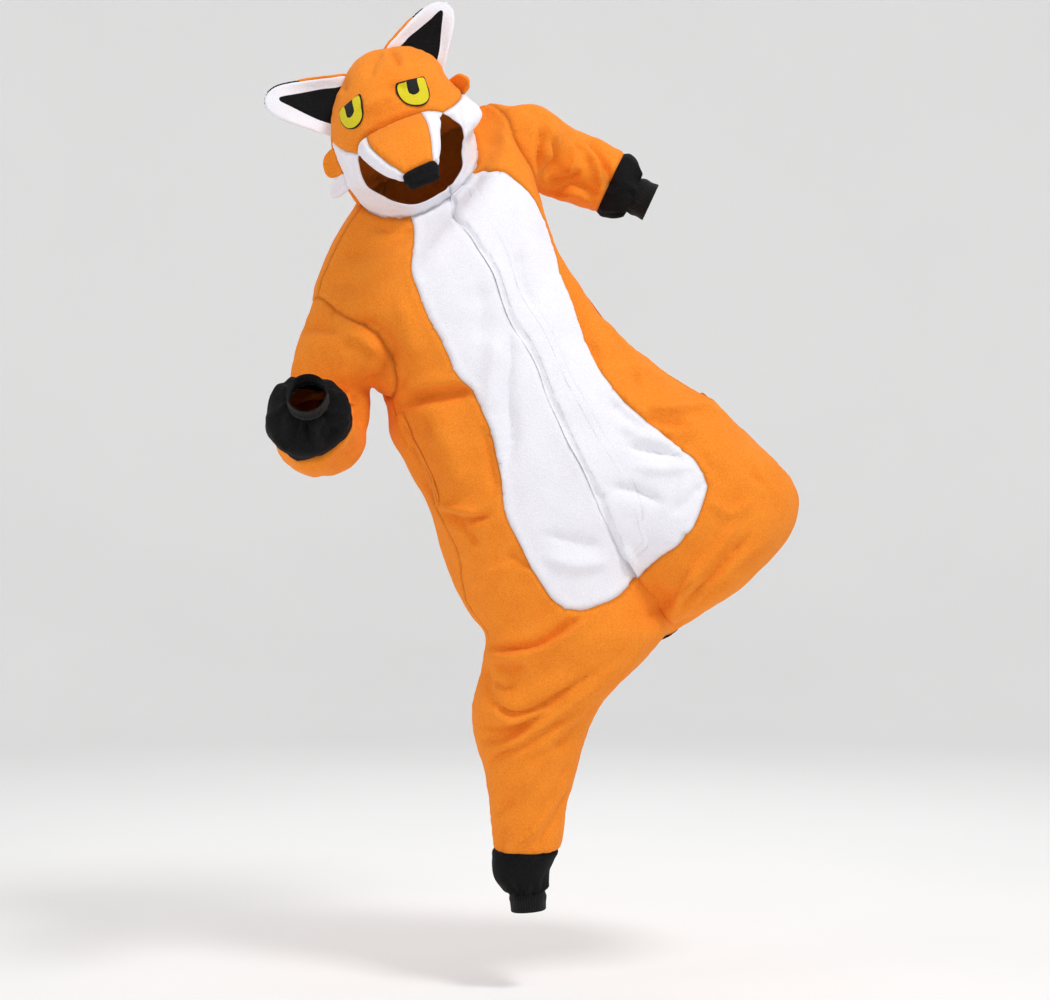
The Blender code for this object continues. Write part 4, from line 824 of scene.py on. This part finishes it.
# ---------------------------------------------------------------- black ends of sleeves and legs
# Bands of black fleece that finish each sleeve and leg, gathered below into a narrower cuff.
black_fleece = fleece("black_fleece", rgb(8, 8, 9), rgb(26, 26, 28), 0.05, rgb(120, 120, 130))
for name, width, length in (("leg_end_right", 0.37, 0.085), ("leg_end_left", 0.37, 0.085),
                            ("sleeve_end_right", 0.46, 0.095), ("sleeve_end_left", 0.34, 0.065)):
    piece = double_cloth(name, black_fleece, FLEECE_WALL)
    (name.replace("leg_end", "front")
             .replace("sleeve_end", "sleeve") + "_cloth")

# ---------------------------------------------------------------- cuffs
# Short tubes of black knitted rib, doubled at their open edge, that grip the wrists and ankles.
RIBS = 46
CUFF_ROWS = 14


def rib_material():
    """Black knitted rib: ribs along the cuff, and rows of loops round it."""
    material, shader, place = new_material("black_rib", Roughness=0.85, Sheen_Weight=0.05,
                                           Specular_IOR_Level=0.2)
    map_place = place.node("UVMap", {"uv_map": "round"})
    ribs = (map_place.part(0) * (RIBS * 2 * math.pi)).wave() * 0.5 + 0.5
    loops = (map_place.part(1) * (CUFF_ROWS * 2 * math.pi) + ribs * 2.0).wave() * 0.5 + 0.5
    height = ribs * 0.8 + loops * 0.2
    shade = (height * 0.8 + 0.2 * place.noise(0.002)).stepped(0.0, 1.0)
    finish_shader(shader, place, shade.mixed(rgb(7, 7, 8), rgb(24, 24, 26)), height, 0.0011, 0.8)
    return material


def wrap_round(piece):
    """A map on a tube: how far round it and how far along it each corner is, from 0 to 1."""
    places = np.array([vert.co[:] for vert in piece.data.vertices])
    places -= places.mean(0)
    axes = np.linalg.svd(places, full_matrices=False)[2]
    shortest = int(np.argmin(np.ptp(places @ axes.T, axis=0)))
    first, second = np.delete(axes, shortest, axis=0)
    turn = np.arctan2(places @ second, places @ first) / (2 * math.pi) + 0.5
    far = places @ axes[shortest]
    far = (far - far.min()) / np.ptp(far)
    layer = piece.data.uv_layers.new(name="round")
    for face in piece.data.polygons:
        around = turn[list(face.vertices)]
        if np.ptp(around) > 0.5:
            around = around + (around < 0.5)
        for loop, share, vert in zip(face.loop_indices, around, face.vertices):
            layer.data[loop].uv = (share, far[vert])


black_rib = rib_material()
for name, width, length in (("ankle_cuff_right", 0.21, 0.037), ("ankle_cuff_left", 0.21, 0.037),
                            ("wrist_cuff_right", 0.24, 0.035), ("wrist_cuff_left", 0.22, 0.035)):
    piece = double_cloth(name, black_rib, RIB_WALL, roll=0.0012)
    wrap_round(piece)
    end = name.replace("ankle_cuff", "leg_end").replace("wrist_cuff", "sleeve_end")
    end + "_cloth"

# ---------------------------------------------------------------- hood
# An orange front over the brow and two orange backs, unlined, so that the same fleece shows
# inside the open face.
for name, width, length, area in (("hood_front", 0.34, 0.26, 0.055),
                                  ("hood_back_right", 0.25, 0.30, 0.050),
                                  ("hood_back_left", 0.25, 0.26, 0.042)):
    piece = double_cloth(name, orange_fleece, FLEECE_WALL)

# ---------------------------------------------------------------- cheeks
# White fleece at each side of the face and under the chin, hemmed round the opening.
for name, width, length, area in (("cheek_right", 0.12, 0.26, 0.019),
                                  ("cheek_left", 0.12, 0.26, 0.020)):
    piece = double_cloth(name, white_fleece, FLEECE_WALL)

# ---------------------------------------------------------------- snout
# An orange top and two white sides sewn to the brow like the peak of a cap, with a band of
# black fleece for the nose at its blunt end.
for name, width, length, area, slot, material in (
        ("snout_top", 0.12, 0.15, 0.0135, "orange_fleece", orange_fleece),
        ("snout_side_right", 0.12, 0.17, 0.0135, "white_fleece", white_fleece),
        ("snout_side_left", 0.11, 0.16, 0.0110, "white_fleece", white_fleece),
        ("nose", 0.09, 0.06, 0.0042, "black_fleece", black_fleece)):
    piece = double_cloth(name, material, FLEECE_WALL)

# ---------------------------------------------------------------- ears
# White fronts with a black triangle sewn on, and orange backs with black tips. Each ear is
# slightly stuffed, and the coloured back rolls over its upper edge.
EAR_PUFF = 0.0035
ROLL_OUT, ROLL_FORWARD = 0.0032, 0.0016     # how far the back's upper edge comes round
LOWER_TUCK = 0.0020         # how far its lower edge stays behind the front


def ear_push(side, sign):
    """Swells a face of an ear between its edges, and rolls the back's upper edge outward."""
    foot = np.array(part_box("ear_front_" + side)).mean(0)
    head = np.array(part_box("hood_front")).mean(0)
    out = unit((foot - head) * (1, 0, 1))
    upper = np.array((-out[2], 0, out[0])) * (-1 if side == "right" else 1)

    def push(places, outward):
        """Where the points of one face of the ear go."""
        share = (places - foot) @ upper
        half = max(abs(share).max(), 0.001)
        middle = np.clip(1 - (share / half) ** 2, 0, 1)
        swell = outward * (middle * EAR_PUFF * (outward[:, 1] * sign > 0))[:, None]
        if sign > 0:
            rolled = np.clip(share / half * 2, 0, 1)[:, None]
            tucked = np.clip((-share - 0.004) / 0.010, 0, 1)[:, None]
            roll = upper * ROLL_OUT - np.array((0, ROLL_FORWARD, 0))
            swell = swell + roll * rolled + upper * LOWER_TUCK * tucked
        return places + swell
    return push


for side in ("right", "left"):
    front = laid_piece("ear_front_" + side, 3, white_fleece, ear_push(side, -1))
    black = laid_piece("ear_inner_" + side, 3, black_fleece, ear_push(side, -1))
    back = laid_piece("ear_back_" + side, 3, orange_fleece, ear_push(side, 1))
    tip = laid_piece("ear_back_tip_" + side, 3, black_fleece, ear_push(side, 1))

# ---------------------------------------------------------------- cheek tufts
# Small round tabs of doubled fleece, sewn into the seam beside each cheek.
TUFT_PUFF = 0.0022
for name, slot, material in (("tuft_upper_right", "orange_fleece", orange_fleece),
                             ("tuft_lower_right", "white_fleece", white_fleece),
                             ("tuft_upper_left", "orange_fleece", orange_fleece)):
    piece = laid_piece(name, 3, material,
                       lambda places, outward: places + outward * TUFT_PUFF)

# ---------------------------------------------------------------- eyes
# Machine embroidery on the hood front: a black outline and pupil, and a yellow iris, in rows of
# close satin stitches that stand a little proud of the fleece.
SATIN_ROW = 0.0009          # width of a row of the stitches


def satin_material(name, deep, light):
    """Rows of close satin stitches, all on one slant."""
    material, shader, place = new_material(name, Roughness=0.50, Sheen_Weight=0.03,
                                           Specular_IOR_Level=0.25)
    slant = place.part(2) * 0.94 - place.part(0) * 0.34
    rows = (slant * (2 * math.pi / SATIN_ROW) + place.noise(0.003) * 2.0).wave() * 0.5 + 0.5
    shade = (rows * 0.7 + 0.3 * place.noise(0.0012)).stepped(0.0, 1.0)
    finish_shader(shader, place, shade.mixed(deep, light), rows, 0.0003)
    return material


black_satin = satin_material("black_satin", rgb(6, 6, 8), rgb(22, 22, 25))
yellow_satin = satin_material("yellow_satin", rgb(206, 190, 14), rgb(246, 232, 36))
for side in ("right", "left"):
    outline = laid_piece("eye_outline_" + side, 3, black_satin)
    iris = laid_piece("iris_" + side, 3, yellow_satin)

# ---------------------------------------------------------------- floor, lights and camera
# A plain pale floor that curves up all round, a large soft light from the front and above, a
# weaker one from each side, and the camera level with the middle of the suit.
MIDDLE = Vector((0.200, -0.010, -0.604))
FLOOR_LEVEL = -1.495
FLOOR_REACH, RISE, WALL_HEIGHT = 4.6, 1.4, 3.3
CAMERA_AWAY = 4.300
VIEW_WIDTH = 1.890          # of what the camera sees, at the middle of the suit
ROOM_LIGHT = 0.58


def stage_floor():
    """A round floor with a curved rise to a wall all round, all one sheet."""
    profile = [(0.0, 0.0), (FLOOR_REACH, 0.0)]
    profile += [(FLOOR_REACH + RISE * math.sin(turn), RISE - RISE * math.cos(turn))
                for turn in np.linspace(0.1, math.pi / 2, 16)]
    profile += [(FLOOR_REACH + RISE, WALL_HEIGHT)]
    turns = np.linspace(0, 2 * math.pi, 97)[:-1]
    spots = [(MIDDLE.x + reach * math.cos(turn), MIDDLE.y + reach * math.sin(turn), FLOOR_LEVEL + up)
             for turn in turns for reach, up in profile]
    count, total = len(profile), len(spots)
    faces = [(k, k + 1, (k + 1 + count) % total, (k + count) % total)
             for k in range(total) if (k + 1) % count]
    mesh = bpy.data.meshes.new("floor")
    mesh.from_pydata(spots, [], faces)
    mesh.shade_smooth()
    floor = bpy.data.objects.new("floor", mesh)
    bpy.context.scene.collection.objects.link(floor)
    material, shader, place = new_material("floor", Roughness=0.9)
    cloudy = place.noise(2 / 3)
    finish_shader(shader, place, cloudy.mixed(rgb(247, 247, 247), rgb(252, 252, 252)), cloudy, 0.0)
    mesh.materials.append(material)


def soft_light(name, place, size, power):
    """A square light that looks at the middle of the suit."""
    lamp = bpy.data.lights.new(name, "AREA")
    lamp.shape = "SQUARE"
    lamp.size, lamp.energy = size, power
    light = bpy.data.objects.new(name, lamp)
    bpy.context.scene.collection.objects.link(light)
    light.location = place
    light.rotation_euler = (MIDDLE - Vector(place)).to_track_quat("-Z", "Y").to_euler()


stage_floor()
soft_light("key_light", (1.7, -2.2, 2.9), 0.9, 84)
soft_light("side_light", (-3.2, -2.0, 0.8), 1.6, 14)
soft_light("back_light", (0.4, 2.6, 1.8), 2.0, 30)
bpy.context.scene.view_settings.view_transform = "Standard"
world = bpy.data.worlds.new("studio")
world.use_nodes = True
world.node_tree.nodes["Background"].inputs["Color"].default_value = (1.0, 1.0, 1.0, 1.0)
world.node_tree.nodes["Background"].inputs["Strength"].default_value = ROOM_LIGHT
bpy.context.scene.world = world
lens = bpy.data.cameras.new("camera")
lens.sensor_fit = "HORIZONTAL"
lens.sensor_width = 36.0
lens.lens = lens.sensor_width * CAMERA_AWAY / VIEW_WIDTH
camera = bpy.data.objects.new("camera", lens)
bpy.context.scene.collection.objects.link(camera)
camera.location = MIDDLE + Vector((0.0, -CAMERA_AWAY, 0.0))
camera.rotation_euler = (math.pi / 2, 0.0, 0.0)
bpy.context.scene.camera = camera
